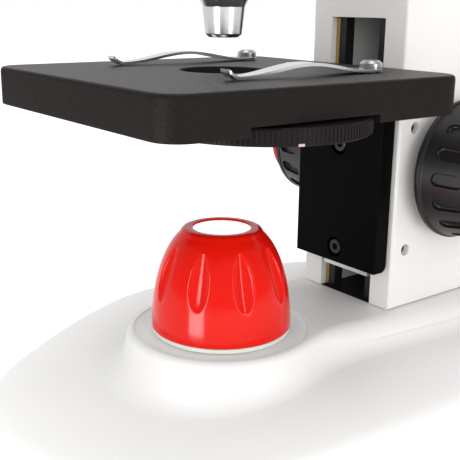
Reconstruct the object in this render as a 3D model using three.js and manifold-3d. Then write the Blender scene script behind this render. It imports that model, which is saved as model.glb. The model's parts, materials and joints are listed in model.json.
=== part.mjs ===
// A student's monocular microscope with a lit base: millimetres, +Z up, the front towards -Y.
// Inside this file the optical axis is the line x = 0, y = 0, and z = 0 is the table. The exported
// group is moved so that its origin lies on the table below the middle of the base.
import * as THREE from "three";
import { mergeVertices } from "three/addons/utils/BufferGeometryUtils.js";
import Module from "manifold-3d";

const wasm = await Module();
wasm.setup();

// ---------------------------------------------------------------- driving dimensions

const GAP = 0.3; // clearance between pieces that touch or slide
const BITE = 1; // how far a cutting tool runs past the face that it opens

// Base
const BASE_WIDTH = 156;
const BASE_FRONT = 84; // optical axis to the front of the base
const BASE_BACK = 122; // optical axis to the back of the base
const BASE_WAIST_Y = 20; // where the base is widest
const BASE_REAR_POWER = 3.2; // squareness of the outline behind the widest place
const BASE_POINTS = 44;
const BASE_WALL = 3;
const BASE_FLOOR = 2; // lower rim of the shell above the table
const BASE_EDGE_RADIUS = 12;
const BASE_DRAFT = 0.8; // how far the side wall leans in before the edge turns over
const BASE_TOP = 31; // height of the broad upper face behind the lamp
const BASE_NOSE_DROP = 6; // how much lower the nose lies
const NOSE_FROM = -50;
const NOSE_TO = 15;

// Ridge along the base, which carries the lamp and the arm
const RIDGE_TOP = 41;
const RIDGE_FOOT_TOP = 39.5; // where the arm stands
const RIDGE_FALL_FROM = 20;
const RIDGE_FALL_TO = 52;
const RIDGE_NOSE_RADIUS = 32;
const RIDGE_WAIST = 26.5; // half widths
const RIDGE_REAR = 33;
const RIDGE_END = 114;
const RIDGE_CORNER = 12;
const RIDGE_SPREAD = 4.5; // how much wider the ridge is at its root
const RIDGE_ROUND = 2.4;
const RIDGE_SKIN = 4.5;

// Lamp
const WELL_RADIUS = 29;
const WELL_DEPTH = 2.6;
const DOME_RADIUS = 23;
const DOME_SEAT = 42;
const DOME_HEIGHT = 33;
const DOME_FULL_HEIGHT = 35.8; // height at which the dome's curve would close
const DOME_RISE_POWER = 2.03;
const DOME_CLOSE_POWER = 0.366;
const DOME_WALL = 2.4;
const WINDOW_RADIUS = 9.8;
const WINDOW_THICKNESS = 2;
const WINDOW_LEDGE = 1.6;
const WINDOW_INSET = 0.6;

// Arm
const ARM_WIDTH = 44;
const ARM_FRONT = 57.55;
const ARM_BACK = 104;
const ARM_EDGE = 0.8;
const ARM_REACH_BOTTOM = 196;
const ARM_REACH_TOP = 216;
const ARM_RING_RADIUS = 24;
const CHANNEL_HALF_WIDTH = 12.64;
const CHANNEL_BACK = 92;
const CHANNEL_TOP = 140;
const BOLT_X = (CHANNEL_HALF_WIDTH + ARM_WIDTH / 2) / 2; // in the middle of each channel wall
const BOLT_Y = 78;
const BOLT_RADIUS = 2.6;
const BOLT_HEAD_RADIUS = 4.6;
const LIGHT_BORE = 8;
const ARM_BACK_BENDS = [ // curve of the back, in y and z
  [ARM_BACK, 120],
  [ARM_BACK, 175],
  [92, ARM_REACH_TOP],
  [44, ARM_REACH_TOP],
];
const ARM_THROAT_BENDS = [ // curve of the front under the reach
  [26, ARM_REACH_BOTTOM],
  [48, ARM_REACH_BOTTOM],
  [ARM_FRONT, 182],
  [ARM_FRONT, 152],
];
const BOLT_TOP = 60;
const ARM_REACH_END = -8; // the straight reach ends inside the ring

// Focusing slide and drive
const SLIDE_HALF_WIDTH = 11;
const SLIDE_NECK = 7.5;
const SLIDE_BOTTOM = 49.5;
const SLIDE_TOP = 118;
const SLIDE_FACE = 2.3;
const SLIDE_GROOVE = 4.6;
const SLIDE_FLANGE = 3;
const TOOTH_MODULE = 1;
const PINION_TEETH = 12;
const TOOTH_ADDENDUM = 0.8; // in modules
const TOOTH_DEDENDUM = 1.25;
const TOOTH_PLAY = 0.4; // backlash on the pitch line
const PRESSURE_ANGLE = THREE.MathUtils.degToRad(20);
const RACK_HALF_WIDTH = 4;
const DRIVE_Y = 84;
const DRIVE_Z = 89;
const SHAFT_RADIUS = 4.2;
const FINE_SHAFT_RADIUS = 2.2;
const BUSH_RADIUS = 7.5;
const KNOB_INNER_X = ARM_WIDTH / 2 + 2; // the knob's inner face clears the arm by 2
const KNOB_OUTER_X = KNOB_INNER_X + 22;
const KNOB_RIM_RADIUS = 24.5;
const KNOB_END_RADIUS = 21;
const KNOB_RIM_WIDTH = 3;
const RING_WIDTH = 2.4;
const RING_STEP = 1.2;
const FINE_KNOB_RADIUS = 14.5;
const FINE_KNOB_LENGTH = 9;

// Stage
const STAGE_WIDTH = 100.5;
const STAGE_FRONT = -53.2;
const STAGE_BACK = 52.8;
const STAGE_BOTTOM = 113.05;
const STAGE_TOP = 124.6;
const STAGE_PLATE = 3;
const STAGE_SKIRT = 2;
const STAGE_CORNER = 8;
const STAGE_EDGE = 1.2;
const APERTURE_RADIUS = 13;
const NOTCH_FRONT = -29.2;
const NOTCH_BACK = 16.1;
const NOTCH_HEIGHT = 2.45;
const BRACKET_HALF_WIDTH = 20.1;
const BRACKET_FRONT = 51.1;
const BRACKET_THICKNESS = 6;
const BRACKET_BOTTOM = 53.7;
const BRACKET_LEG = 20;
const BRACKET_LEG_THICKNESS = 5;
const BRACKET_SCREW_Z = [59.2, 97];
const BRACKET_BORE_RADIUS = 3.6; // counterbore for a socket head
const BRACKET_BORE_DEPTH = 3.4;
const SOCKET_HEAD_RADIUS = 2.75;
const SOCKET_HEAD_DROP = 0.4; // how far the head lies under the bracket's face
const SOCKET_HEAD_END = 3.1;
const SOCKET_SHANK_RADIUS = 1.5;
const SOCKET_LENGTH = 9;
const SOCKET_RADIUS = 1.45;
const SOCKET_DEPTH = 1.9;
const STAGE_SCREW_X = 14;
const STAGE_SCREW_Y = 42;
const STAGE_SCREW_RADIUS = 1.6;
const STAGE_SCREW_HEAD = 3.6;
const STAGE_SCREW_CONE = 2; // height of the countersunk head
const DISC_X = 22.5;
const DISC_Y = -3.5;
const DISC_RADIUS = 32;
const DISC_BOTTOM = 109.7;
const DISC_THICKNESS = 4.8;
const DISC_HOLES = [5.5, 4.4, 3.2, 2.2, 1.2]; // radii
const CLIP_X = 30;
const CLIP_Y = 33;
const CLIP_WIDTH = 7;
const CLIP_LENGTH = 52;
const CLIP_THICKNESS = 0.9;
const CLIP_BOW = 3.2;
const CLIP_SEAT = 4; // flat part at the post
const CLIP_LIFT = 2; // how far the tip turns up
const CLIP_TIP = 3; // length of the tip
const CLIP_POST_RADIUS = 1.6;
const CLIP_POST_HEAD = 3.4;
const CLIP_POST_DEPTH = 10;
const PIVOT_RADIUS = 1.7;
const PIVOT_HEAD = 4;
const DISC_HUB_RADIUS = 6;
const DISC_RIM = 3;
const DISC_WEB = 2.4;
const DISC_HUB_LIFT = 0.8;

// Nosepiece and objectives
const TURRET_TILT = THREE.MathUtils.degToRad(16);
const TURRET_HOLE_CIRCLE = 17;
const TURRET_RADIUS = 25.5;
const TURRET_THICKNESS = 7.5;
const SHOULDER_Z = 179;
const OBJECTIVE_LENGTHS = [44.4, 35, 27];
const OBJECTIVE_BARREL = 10.5; // radius under the flange
const OBJECTIVE_THREAD = 9.2;
const OBJECTIVE_THREAD_LENGTH = 4.5;
const OBJECTIVE_TIPS = [4.4, 6, 7.6]; // radii of the front ends
const TURRET_SCREW_RADIUS = 2.5;
const TURRET_SCREW_HEAD = 5;
const TURRET_BOSS = 7; // flat about the turret's screw
const OBJECTIVE_NAMES = ["objective_high", "objective_medium", "objective_low"];

// Head
const HEAD_WIDTH = 42;
const HEAD_NECK_RADIUS = 16;
const HEAD_NECK_DEPTH = 11;
const HEAD_LOCK_DROP = 6; // the lock screw's axis below the top of the arm's ring
const HEAD_LOCK_RADIUS = 2;
const HEAD_GROOVE_DEPTH = 1.5;
const PRISM_Z = 238;
const TUBE_TILT = THREE.MathUtils.degToRad(45);
const TUBE_START = 28;
const TUBE_LENGTH = 62;
const TUBE_RADIUS = 15;
const TUBE_BORE = 11.75;
const EYEPIECE_RADIUS = 16;
const EYEPIECE_HEAD = 27;
const EYEPIECE_SHANK = 48;
const EYE_MOUTH_RADIUS = 9.8;
const EYE_MOUTH_DEPTH = 4; // from the eyepiece's rim down to the lens seat's mouth
const EYE_SEAT_DEPTH = 8;
const EYE_WALL = 2;

// Power
const CELL_RADIUS = 7.1;
const CELL_LENGTH = 50;
const CELL_COUNT = 3;
const TRAY_FRONT = 28;
const TRAY_WALL = 1.6;
const COVER_THICKNESS = 2.5;
const DOOR_THICKNESS = 2;
const SWITCH_WIDTH = 11;
const SWITCH_HEIGHT = 15;
const SWITCH_Z = 13;
const SWITCH_SET_BACK = 2.3; // the rocker's pivot behind the back face
const SWITCH_TILT = THREE.MathUtils.degToRad(7);
const FOOT_RADIUS = 8;
const FEET = [[-46, -38], [46, -38], [-54, 84], [54, 84]];
const COVER_SCREWS = [[-60, 0], [60, 0], [-44, 93], [44, 93]];

// ---------------------------------------------------------------- finishes

function finish(color, roughness, metalness = 0) {
  return new THREE.MeshStandardMaterial({ color, roughness, metalness });
}

const WHITE_GLOSS = finish(0xf1f0ee, 0.25);
const WHITE_PAINT = finish(0xefece6, 0.4);
const RED_GLOSS = finish(0xe0231a, 0.2);
const CREAM = finish(0xe9e6cf, 0.5);
const BLACK_CRINKLE = finish(0x2b2a29, 0.65);
const BLACK_MATTE = finish(0x171615, 0.6);
const BLACK_SATIN = finish(0x1d1b1b, 0.4);
const RUBBER = finish(0x202020, 0.9);
const STEEL = finish(0xb9bbbe, 0.3, 1);
const ALUMINIUM = finish(0xc9cbce, 0.35, 1);
const BRASS = finish(0xb08d4a, 0.35, 1);
const GLASS = finish(0xdfe8ec, 0.05);
const FROSTED = finish(0xffffff, 0.6);
const CELL_JACKET = finish(0x6f7680, 0.4);
const BOARD_GREEN = finish(0x1f5a37, 0.6);

// ---------------------------------------------------------------- geometry helpers

// Turns a geometry's faces round where they point inwards.
function outward(geometry) {
  const g = geometry.index ? geometry.toNonIndexed() : geometry;
  const p = g.getAttribute("position");
  const [a, b, c] = [new THREE.Vector3(), new THREE.Vector3(), new THREE.Vector3()];
  let volume = 0;
  for (let i = 0; i < p.count; i += 3) {
    a.fromBufferAttribute(p, i);
    b.fromBufferAttribute(p, i + 1);
    c.fromBufferAttribute(p, i + 2);
    volume += a.dot(b.cross(c));
  }
  if (volume < 0) {
    for (let i = 0; i < p.count; i += 3) {
      b.fromBufferAttribute(p, i + 1);
      c.fromBufferAttribute(p, i + 2);
      p.setXYZ(i + 1, c.x, c.y, c.z);
      p.setXYZ(i + 2, b.x, b.y, b.z);
    }
  }
  return g;
}

function solidOf(geometry) {
  const bare = geometry.clone();
  bare.deleteAttribute("normal");
  bare.deleteAttribute("uv");
  const merged = mergeVertices(bare, 1e-4);
  return new wasm.Manifold(
    new wasm.Mesh({
      numProp: 3,
      vertProperties: new Float32Array(merged.getAttribute("position").array),
      triVerts: new Uint32Array(merged.index.array),
    }),
  );
}

function geometryOf(solid) {
  const { numProp, vertProperties, triVerts } = solid.getMesh();
  const positions = new Float32Array((vertProperties.length / numProp) * 3);
  for (let i = 0; i < positions.length / 3; i++) {
    positions.set(vertProperties.subarray(i * numProp, i * numProp + 3), i * 3);
  }
  return new THREE.BufferGeometry()
    .setAttribute("position", new THREE.BufferAttribute(positions, 3))
    .setIndex(new THREE.BufferAttribute(triVerts, 1));
}

function cut(body, ...tools) {
  return geometryOf(tools.reduce((s, tool) => s.subtract(solidOf(tool)), solidOf(body)));
}

function join(...pieces) {
  return geometryOf(pieces.slice(1).reduce((s, p) => s.add(solidOf(p)), solidOf(pieces[0])));
}

function keep(body, region) {
  return geometryOf(solidOf(body).intersect(solidOf(region)));
}

// A box between two corners.
function block(x0, x1, y0, y1, z0, z1) {
  return new THREE.BoxGeometry(x1 - x0, y1 - y0, z1 - z0).translate(
    (x0 + x1) / 2,
    (y0 + y1) / 2,
    (z0 + z1) / 2,
  );
}

// A solid of revolution about Z; the profile is a list of [radius, height].
function turned(profile, segments = 24) {
  const points = profile.map(([r, h]) => new THREE.Vector2(r, h));
  return outward(new THREE.LatheGeometry(points, segments).rotateX(Math.PI / 2));
}

function rod(radius, z0, z1, segments = 16) {
  return turned([[0, z0], [radius, z0], [radius, z1], [0, z1]], segments);
}

function ring(inner, outer, z0, z1, segments = 24) {
  return turned([[inner, z0], [outer, z0], [outer, z1], [inner, z1], [inner, z0]], segments);
}

// Turns a piece made about Z so that it lies along X and points to the given side.
function alongX(geometry, side = 1) {
  return geometry.rotateY((side * Math.PI) / 2);
}

function extruded(shape, z0, z1, curveSegments = 8) {
  const depth = z1 - z0;
  const options = { depth, bevelEnabled: false, curveSegments };
  return outward(new THREE.ExtrudeGeometry(shape, options).translate(0, 0, z0));
}

// Extrudes an outline drawn in the Y-Z plane along X, with its edges broken by a small chamfer.
function sideSlab(shape, halfWidth, edge = 0) {
  const depth = 2 * (halfWidth - edge);
  const bevel = {
    bevelEnabled: edge > 0,
    bevelThickness: edge,
    bevelSize: edge,
    bevelOffset: -edge,
    bevelSegments: 1,
  };
  const slab = new THREE.ExtrudeGeometry(shape, { depth, curveSegments: 6, ...bevel });
  const toSide = new THREE.Matrix4().makeBasis(
    new THREE.Vector3(0, 1, 0),
    new THREE.Vector3(0, 0, 1),
    new THREE.Vector3(1, 0, 0),
  );
  return outward(slab.translate(0, 0, -depth / 2).applyMatrix4(toSide));
}

function roundedRectangle(x0, x1, y0, y1, r) {
  const s = new THREE.Shape();
  s.moveTo(x0 + r, y0);
  s.lineTo(x1 - r, y0);
  s.absarc(x1 - r, y0 + r, r, -Math.PI / 2, 0);
  s.lineTo(x1, y1 - r);
  s.absarc(x1 - r, y1 - r, r, 0, Math.PI / 2);
  s.lineTo(x0 + r, y1);
  s.absarc(x0 + r, y1 - r, r, Math.PI / 2, Math.PI);
  s.lineTo(x0, y0 + r);
  s.absarc(x0 + r, y0 + r, r, Math.PI, 1.5 * Math.PI);
  return s;
}

// Skins a stack of rings of equal length and closes both ends with a fan.
function loft(rings) {
  const n = rings[0].length;
  const positions = [];
  const face = (a, b, c) => positions.push(...a.toArray(), ...b.toArray(), ...c.toArray());
  for (let k = 0; k + 1 < rings.length; k++) {
    for (let i = 0; i < n; i++) {
      const j = (i + 1) % n;
      face(rings[k][i], rings[k][j], rings[k + 1][j]);
      face(rings[k][i], rings[k + 1][j], rings[k + 1][i]);
    }
  }
  const middle = (r) => r.reduce((s, p) => s.add(p), new THREE.Vector3()).divideScalar(n);
  const [low, high] = [middle(rings[0]), middle(rings.at(-1))];
  for (let i = 0; i < n; i++) {
    const j = (i + 1) % n;
    face(low, rings[0][j], rings[0][i]);
    face(high, rings.at(-1)[i], rings.at(-1)[j]);
  }
  const attribute = new THREE.Float32BufferAttribute(positions, 3);
  return outward(new THREE.BufferGeometry().setAttribute("position", attribute));
}

function smooth(x, from, to) {
  return THREE.MathUtils.smoothstep(x, from, to);
}

// ---------------------------------------------------------------- base

// The base's outline in plan, an ellipse in front of the widest place and squarer behind it.
function baseOutline(inset) {
  const halfWidth = BASE_WIDTH / 2 - inset;
  return Array.from({ length: BASE_POINTS }, (_, i) => {
    const angle = (2 * Math.PI * i) / BASE_POINTS;
    const [c, s] = [Math.cos(angle), Math.sin(angle)];
    const power = s > 0 ? 2 / BASE_REAR_POWER : 1;
    const reach = s > 0 ? BASE_BACK - BASE_WAIST_Y - inset : BASE_FRONT + BASE_WAIST_Y - inset;
    const x = Math.sign(c) * halfWidth * Math.abs(c) ** power;
    const y = BASE_WAIST_Y + Math.sign(s) * reach * Math.abs(s) ** power;
    return new THREE.Vector2(x, y);
  });
}

function baseTop(y) {
  return BASE_TOP - BASE_NOSE_DROP * (1 - smooth(y, NOSE_FROM, NOSE_TO));
}

// The broad lower body of the base, shrunk inwards by one wall for its hollow.
function baseBody(wall, floor) {
  const radius = BASE_EDGE_RADIUS - wall;
  const level = (inset, height) =>
    baseOutline(inset).map((p) => new THREE.Vector3(p.x, p.y, height(p.y)));
  const rings = [level(wall, () => floor)];
  const steps = 3;
  for (let k = 0; k <= steps; k++) {
    const a = (k / steps) * (Math.PI / 2);
    const inset = wall + BASE_DRAFT + radius * (1 - Math.cos(a));
    rings.push(level(inset, (y) => baseTop(y) - wall - radius * (1 - Math.sin(a))));
  }
  rings.push(level(BASE_EDGE_RADIUS + 20, (y) => baseTop(y) - wall + 1));
  return loft(rings);
}

// What is taken off the top of the ridge, so that it falls to where the arm stands.
function ridgeFall() {
  const s = new THREE.Shape();
  s.moveTo(RIDGE_FALL_FROM, RIDGE_TOP);
  s.lineTo(RIDGE_FALL_TO, RIDGE_FOOT_TOP);
  s.lineTo(BASE_BACK, RIDGE_FOOT_TOP);
  s.lineTo(BASE_BACK, RIDGE_TOP + BITE);
  s.lineTo(RIDGE_FALL_FROM, RIDGE_TOP + BITE);
  return sideSlab(s, BASE_WIDTH / 2);
}

// The ridge's outline in plan: a round nose about the lamp, a waist, then wider under the arm.
function ridgeOutline(grow) {
  const nose = RIDGE_NOSE_RADIUS + grow;
  const waist = RIDGE_WAIST + grow;
  const joinY = Math.sqrt(nose ** 2 - waist ** 2);
  const end = RIDGE_END + grow;
  const side = [];
  const noseSteps = 8;
  const joinAngle = Math.atan2(joinY, waist);
  for (let k = 0; k <= noseSteps; k++) {
    const a = -Math.PI / 2 + (k / noseSteps) * (joinAngle + Math.PI / 2);
    side.push([nose * Math.cos(a), nose * Math.sin(a)]);
  }
  const flankSteps = 3;
  for (let k = 1; k <= flankSteps; k++) {
    const y = joinY + (k / flankSteps) * (RIDGE_END - RIDGE_CORNER - joinY);
    side.push([waist + (RIDGE_REAR - RIDGE_WAIST) * smooth(y, joinY, RIDGE_END - RIDGE_CORNER), y]);
  }
  const cornerSteps = 2;
  for (let k = 1; k <= cornerSteps; k++) {
    const a = (k / cornerSteps) * (Math.PI / 2);
    const corner = RIDGE_CORNER + grow;
    side.push([
      RIDGE_REAR + grow - corner * (1 - Math.cos(a)),
      end - corner * (1 - Math.sin(a)),
    ]);
  }
  const mirrored = side.slice(1).reverse().map(([x, y]) => [-x, y]);
  return [...side, ...mirrored].map(([x, y]) => new THREE.Vector2(x, y));
}

function ridgeBody() {
  const level = (grow, z) => ridgeOutline(grow).map((p) => new THREE.Vector3(p.x, p.y, z));
  const body = loft([
    level(RIDGE_SPREAD, BASE_TOP - BASE_NOSE_DROP - 5),
    level(1, RIDGE_TOP - RIDGE_ROUND - 2),
    level(0, RIDGE_TOP - RIDGE_ROUND),
    level(-RIDGE_ROUND * 0.3, RIDGE_TOP - RIDGE_ROUND * 0.3),
    level(-RIDGE_ROUND, RIDGE_TOP),
  ]);
  return cut(body, ridgeFall());
}

function ridgeHollow() {
  const level = (z) => ridgeOutline(-RIDGE_SKIN).map((p) => new THREE.Vector3(p.x, p.y, z));
  return loft([level(BASE_TOP - BASE_NOSE_DROP - 8), level(RIDGE_FOOT_TOP - RIDGE_SKIN)]);
}

function coverScrewPost([x, y]) {
  const foot = BASE_FLOOR + COVER_THICKNESS + 2 * GAP;
  return rod(4, foot, baseTop(y) - BASE_WALL / 2, 10).translate(x, y, 0);
}

function makeBaseShell() {
  const rearWallBite = BASE_WALL + BASE_DRAFT + 2;
  let shell = join(baseBody(0, BASE_FLOOR), ridgeBody());
  shell = cut(
    shell,
    baseBody(BASE_WALL, BASE_FLOOR - BITE),
    ridgeHollow(),
    rod(WELL_RADIUS, RIDGE_TOP - WELL_DEPTH, RIDGE_TOP + BITE, 28),
    rod(3, RIDGE_TOP - 20, RIDGE_TOP + BITE, 16),
    block(
      -SWITCH_WIDTH / 2 - GAP,
      SWITCH_WIDTH / 2 + GAP,
      BASE_BACK - rearWallBite,
      BASE_BACK + BITE,
      SWITCH_Z - SWITCH_HEIGHT / 2 - GAP,
      SWITCH_Z + SWITCH_HEIGHT / 2 + GAP,
    ),
    ...[-BOLT_X, BOLT_X].map((x) =>
      rod(BOLT_RADIUS + GAP, 20, RIDGE_TOP + BITE, 16).translate(x, BOLT_Y, 0),
    ),
  );
  return COVER_SCREWS.reduce(
    (body, place) =>
      cut(
        join(body, coverScrewPost(place)),
        rod(1.3 + GAP, BASE_FLOOR, 18, 8).translate(place[0], place[1], 0),
      ),
    shell,
  );
}

const COVER_BOTTOM = BASE_FLOOR + GAP;
const TRAY_HALF_WIDTH = CELL_LENGTH / 2 + 1.5;
const TRAY_BACK = TRAY_FRONT + CELL_COUNT * (2 * CELL_RADIUS + GAP) + 2 * GAP;
const TRAY_CEILING = COVER_BOTTOM + DOOR_THICKNESS + 2 * GAP + 2 * CELL_RADIUS + 2 * GAP;

function makeBaseCover() {
  const shape = new THREE.Shape(baseOutline(BASE_WALL + GAP));
  const plate = extruded(shape, COVER_BOTTOM, COVER_BOTTOM + COVER_THICKNESS);
  const tray = block(
    -TRAY_HALF_WIDTH - TRAY_WALL,
    TRAY_HALF_WIDTH + TRAY_WALL,
    TRAY_FRONT - TRAY_WALL,
    TRAY_BACK + TRAY_WALL,
    COVER_BOTTOM,
    TRAY_CEILING + TRAY_WALL,
  );
  const bay = block(
    -TRAY_HALF_WIDTH,
    TRAY_HALF_WIDTH,
    TRAY_FRONT,
    TRAY_BACK,
    COVER_BOTTOM - BITE,
    TRAY_CEILING,
  );
  const screwHoles = COVER_SCREWS.map(([x, y]) =>
    rod(1.3 + GAP, 0, 12, 12).translate(x, y, 0),
  );
  const footHoles = FEET.map(([x, y]) => rod(3 + GAP, 0, 12, 16).translate(x, y, 0));
  return cut(join(plate, tray), bay, ...screwHoles, ...footHoles);
}

function makeFoot() {
  return turned(
    [[0, 0], [FOOT_RADIUS - 1, 0], [FOOT_RADIUS, BASE_FLOOR], [3, BASE_FLOOR],
      [3, COVER_BOTTOM + COVER_THICKNESS], [0, COVER_BOTTOM + COVER_THICKNESS]],
    16,
  );
}

function makeCoverScrew() {
  return turned([[0, 0.6], [2.6, 0.6], [2.6, BASE_FLOOR], [1.3, BASE_FLOOR], [1.3, 14], [0, 14]], 10);
}

function makeCell(index) {
  const y = TRAY_FRONT + GAP + (CELL_RADIUS + GAP / 2) * (2 * index + 1);
  const z = COVER_BOTTOM + DOOR_THICKNESS + 2 * GAP + CELL_RADIUS;
  const end = CELL_LENGTH / 2;
  const can = turned(
    [[0, -end], [CELL_RADIUS, -end], [CELL_RADIUS, end - 1.2], [2.8, end - 1.2], [2.8, end], [0, end]],
    14,
  );
  return alongX(can, index % 2 ? 1 : -1).translate(0, y, z);
}

function makeBatteryDoor() {
  const half = TRAY_HALF_WIDTH - GAP;
  const [front, back] = [TRAY_FRONT + GAP, TRAY_BACK - GAP];
  return block(-half, half, front, back, COVER_BOTTOM, COVER_BOTTOM + DOOR_THICKNESS);
}

function makePowerSwitch() {
  const shape = new THREE.Shape();
  const half = SWITCH_HEIGHT / 2 - 0.4;
  shape.moveTo(-4.5, -half + 1);
  shape.lineTo(1.2, -half);
  shape.quadraticCurveTo(-0.6, 0, 1.2, half);
  shape.lineTo(-4.5, half - 1);
  return sideSlab(shape, SWITCH_WIDTH / 2)
    .rotateX(SWITCH_TILT)
    .translate(0, BASE_BACK - SWITCH_SET_BACK, SWITCH_Z);
}

// ---------------------------------------------------------------- lamp

// Outer radius of the dome at a height above its rim.
function domeRadius(height) {
  return DOME_RADIUS * (1 - (height / DOME_FULL_HEIGHT) ** DOME_RISE_POWER) ** DOME_CLOSE_POWER;
}

function makeDome() {
  const steps = 6;
  const heights = Array.from({ length: steps + 1 }, (_, k) => (DOME_HEIGHT * k) / steps);
  const outside = heights.map((h) => [domeRadius(h), h]);
  const mouth = WINDOW_RADIUS + GAP;
  const ledge = DOME_HEIGHT - WINDOW_INSET - WINDOW_THICKNESS - GAP;
  const inside = heights
    .filter((h) => h < ledge - WINDOW_LEDGE)
    .map((h) => [domeRadius(h) - DOME_WALL, h])
    .reverse();
  const profile = [
    [inside.at(-1)[0], 0],
    ...outside,
    [mouth, DOME_HEIGHT],
    [mouth, ledge],
    [WINDOW_RADIUS - WINDOW_LEDGE, ledge],
    [WINDOW_RADIUS - WINDOW_LEDGE, ledge - WINDOW_LEDGE],
    ...inside,
  ];
  return turned(profile).translate(0, 0, DOME_SEAT);
}

function makeWindow() {
  const top = DOME_SEAT + DOME_HEIGHT - WINDOW_INSET;
  return rod(WINDOW_RADIUS, top - WINDOW_THICKNESS, top, 24);
}

const COLLAR_SEAT = RIDGE_TOP - WELL_DEPTH + GAP;

function makeCollar() {
  const lip = DOME_RADIUS - DOME_WALL - GAP - 0.2;
  const top = DOME_SEAT - GAP;
  return turned(
    [[0, COLLAR_SEAT], [DOME_RADIUS - 0.4, COLLAR_SEAT], [DOME_RADIUS - 0.4, top], [lip, top],
      [lip, top + 4], [lip - 2, top + 4], [lip - 2, top + 0.5], [0, top + 0.5]],
  );
}

function makeLedBoard() {
  const seat = DOME_SEAT - GAP + 0.5 + GAP;
  return rod(DOME_RADIUS - DOME_WALL - 2 - 4 * GAP, seat, seat + 1.6, 32);
}

function makeLed() {
  const seat = DOME_SEAT - GAP + 0.5 + GAP + 1.6 + GAP;
  const lens = [[4, seat + 1], [2.6, seat + 2.6], [1, seat + 3.2], [0, seat + 3.3]];
  return turned([[0, seat], [4, seat], ...lens], 20);
}

// ---------------------------------------------------------------- arm

const HEAD_LOCK_Z = ARM_REACH_TOP - HEAD_LOCK_DROP;

function armOutline() {
  const foot = RIDGE_FOOT_TOP + GAP;
  const s = new THREE.Shape();
  s.moveTo(ARM_FRONT, foot);
  s.lineTo(ARM_BACK, foot);
  s.lineTo(...ARM_BACK_BENDS[0]);
  s.bezierCurveTo(...ARM_BACK_BENDS.slice(1).flat());
  s.lineTo(ARM_REACH_END, ARM_REACH_TOP);
  s.lineTo(ARM_REACH_END, ARM_REACH_BOTTOM);
  s.lineTo(...ARM_THROAT_BENDS[0]);
  s.bezierCurveTo(...ARM_THROAT_BENDS.slice(1).flat());
  return s;
}

function makeArm() {
  const halfWidth = ARM_WIDTH / 2;
  const foot = RIDGE_FOOT_TOP + GAP;
  const body = join(
    sideSlab(armOutline(), halfWidth, ARM_EDGE),
    rod(ARM_RING_RADIUS, ARM_REACH_BOTTOM, ARM_REACH_TOP, 28),
  );
  const bushBore = alongX(rod(BUSH_RADIUS + GAP, -halfWidth - BITE, halfWidth + BITE, 20));
  return cut(
    body,
    block(-CHANNEL_HALF_WIDTH, CHANNEL_HALF_WIDTH, ARM_FRONT - BITE, CHANNEL_BACK, foot - BITE, CHANNEL_TOP),
    bushBore.translate(0, DRIVE_Y, DRIVE_Z),
    rod(LIGHT_BORE, ARM_REACH_BOTTOM - BITE, ARM_REACH_TOP + BITE, 20),
    rod(HEAD_NECK_RADIUS + GAP, ARM_REACH_TOP - HEAD_NECK_DEPTH - 2 * GAP, ARM_REACH_TOP + BITE, 28),
    rod(HEAD_LOCK_RADIUS + GAP, 0, ARM_RING_RADIUS + BITE, 16)
      .rotateX(Math.PI / 2)
      .translate(0, 0, HEAD_LOCK_Z),
    ...[-BOLT_X, BOLT_X].map((x) =>
      rod(BOLT_RADIUS + GAP, foot - BITE, BOLT_TOP + 2, 16).translate(x, BOLT_Y, 0),
    ),
  );
}

function makeArmBolt() {
  const seat = RIDGE_FOOT_TOP - RIDGE_SKIN - GAP;
  return turned(
    [[0, seat - 4], [BOLT_HEAD_RADIUS, seat - 4], [BOLT_HEAD_RADIUS, seat], [BOLT_RADIUS, seat],
      [BOLT_RADIUS, BOLT_TOP], [0, BOLT_TOP]],
    18,
  );
}

// ---------------------------------------------------------------- focusing slide and drive

const SLIDE_FRONT = BRACKET_FRONT + BRACKET_THICKNESS + GAP;
const GROOVE_FRONT = SLIDE_FRONT + SLIDE_FACE;
const FLANGE_FRONT = GROOVE_FRONT + SLIDE_GROOVE;
const FLANGE_BACK = FLANGE_FRONT + SLIDE_FLANGE;
const PITCH_RADIUS = (TOOTH_MODULE * PINION_TEETH) / 2;
const RACK_PITCH_Y = DRIVE_Y - PITCH_RADIUS;

function makeSlide() {
  const s = new THREE.Shape();
  s.moveTo(-SLIDE_HALF_WIDTH, SLIDE_FRONT);
  s.lineTo(SLIDE_HALF_WIDTH, SLIDE_FRONT);
  s.lineTo(SLIDE_HALF_WIDTH, GROOVE_FRONT);
  s.lineTo(SLIDE_NECK, GROOVE_FRONT);
  s.lineTo(SLIDE_NECK, FLANGE_FRONT);
  s.lineTo(SLIDE_HALF_WIDTH, FLANGE_FRONT);
  s.lineTo(SLIDE_HALF_WIDTH, FLANGE_BACK);
  s.lineTo(-SLIDE_HALF_WIDTH, FLANGE_BACK);
  s.lineTo(-SLIDE_HALF_WIDTH, FLANGE_FRONT);
  s.lineTo(-SLIDE_NECK, FLANGE_FRONT);
  s.lineTo(-SLIDE_NECK, GROOVE_FRONT);
  s.lineTo(-SLIDE_HALF_WIDTH, GROOVE_FRONT);
  const bar = extruded(s, SLIDE_BOTTOM, SLIDE_TOP);
  const holes = BRACKET_SCREW_Z.map((z) =>
    rod(1.5 + GAP, -7, BITE, 16).rotateX(Math.PI / 2).translate(0, SLIDE_FRONT, z),
  );
  return cut(bar, ...holes);
}

function makeGuideRail(side) {
  const [inner, outer] = [SLIDE_NECK + GAP, CHANNEL_HALF_WIDTH - GAP];
  const x = side > 0 ? [inner, outer] : [-outer, -inner];
  return block(...x, GROOVE_FRONT + GAP, FLANGE_FRONT - GAP, RIDGE_FOOT_TOP + 2 * GAP, CHANNEL_TOP - GAP);
}

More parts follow.
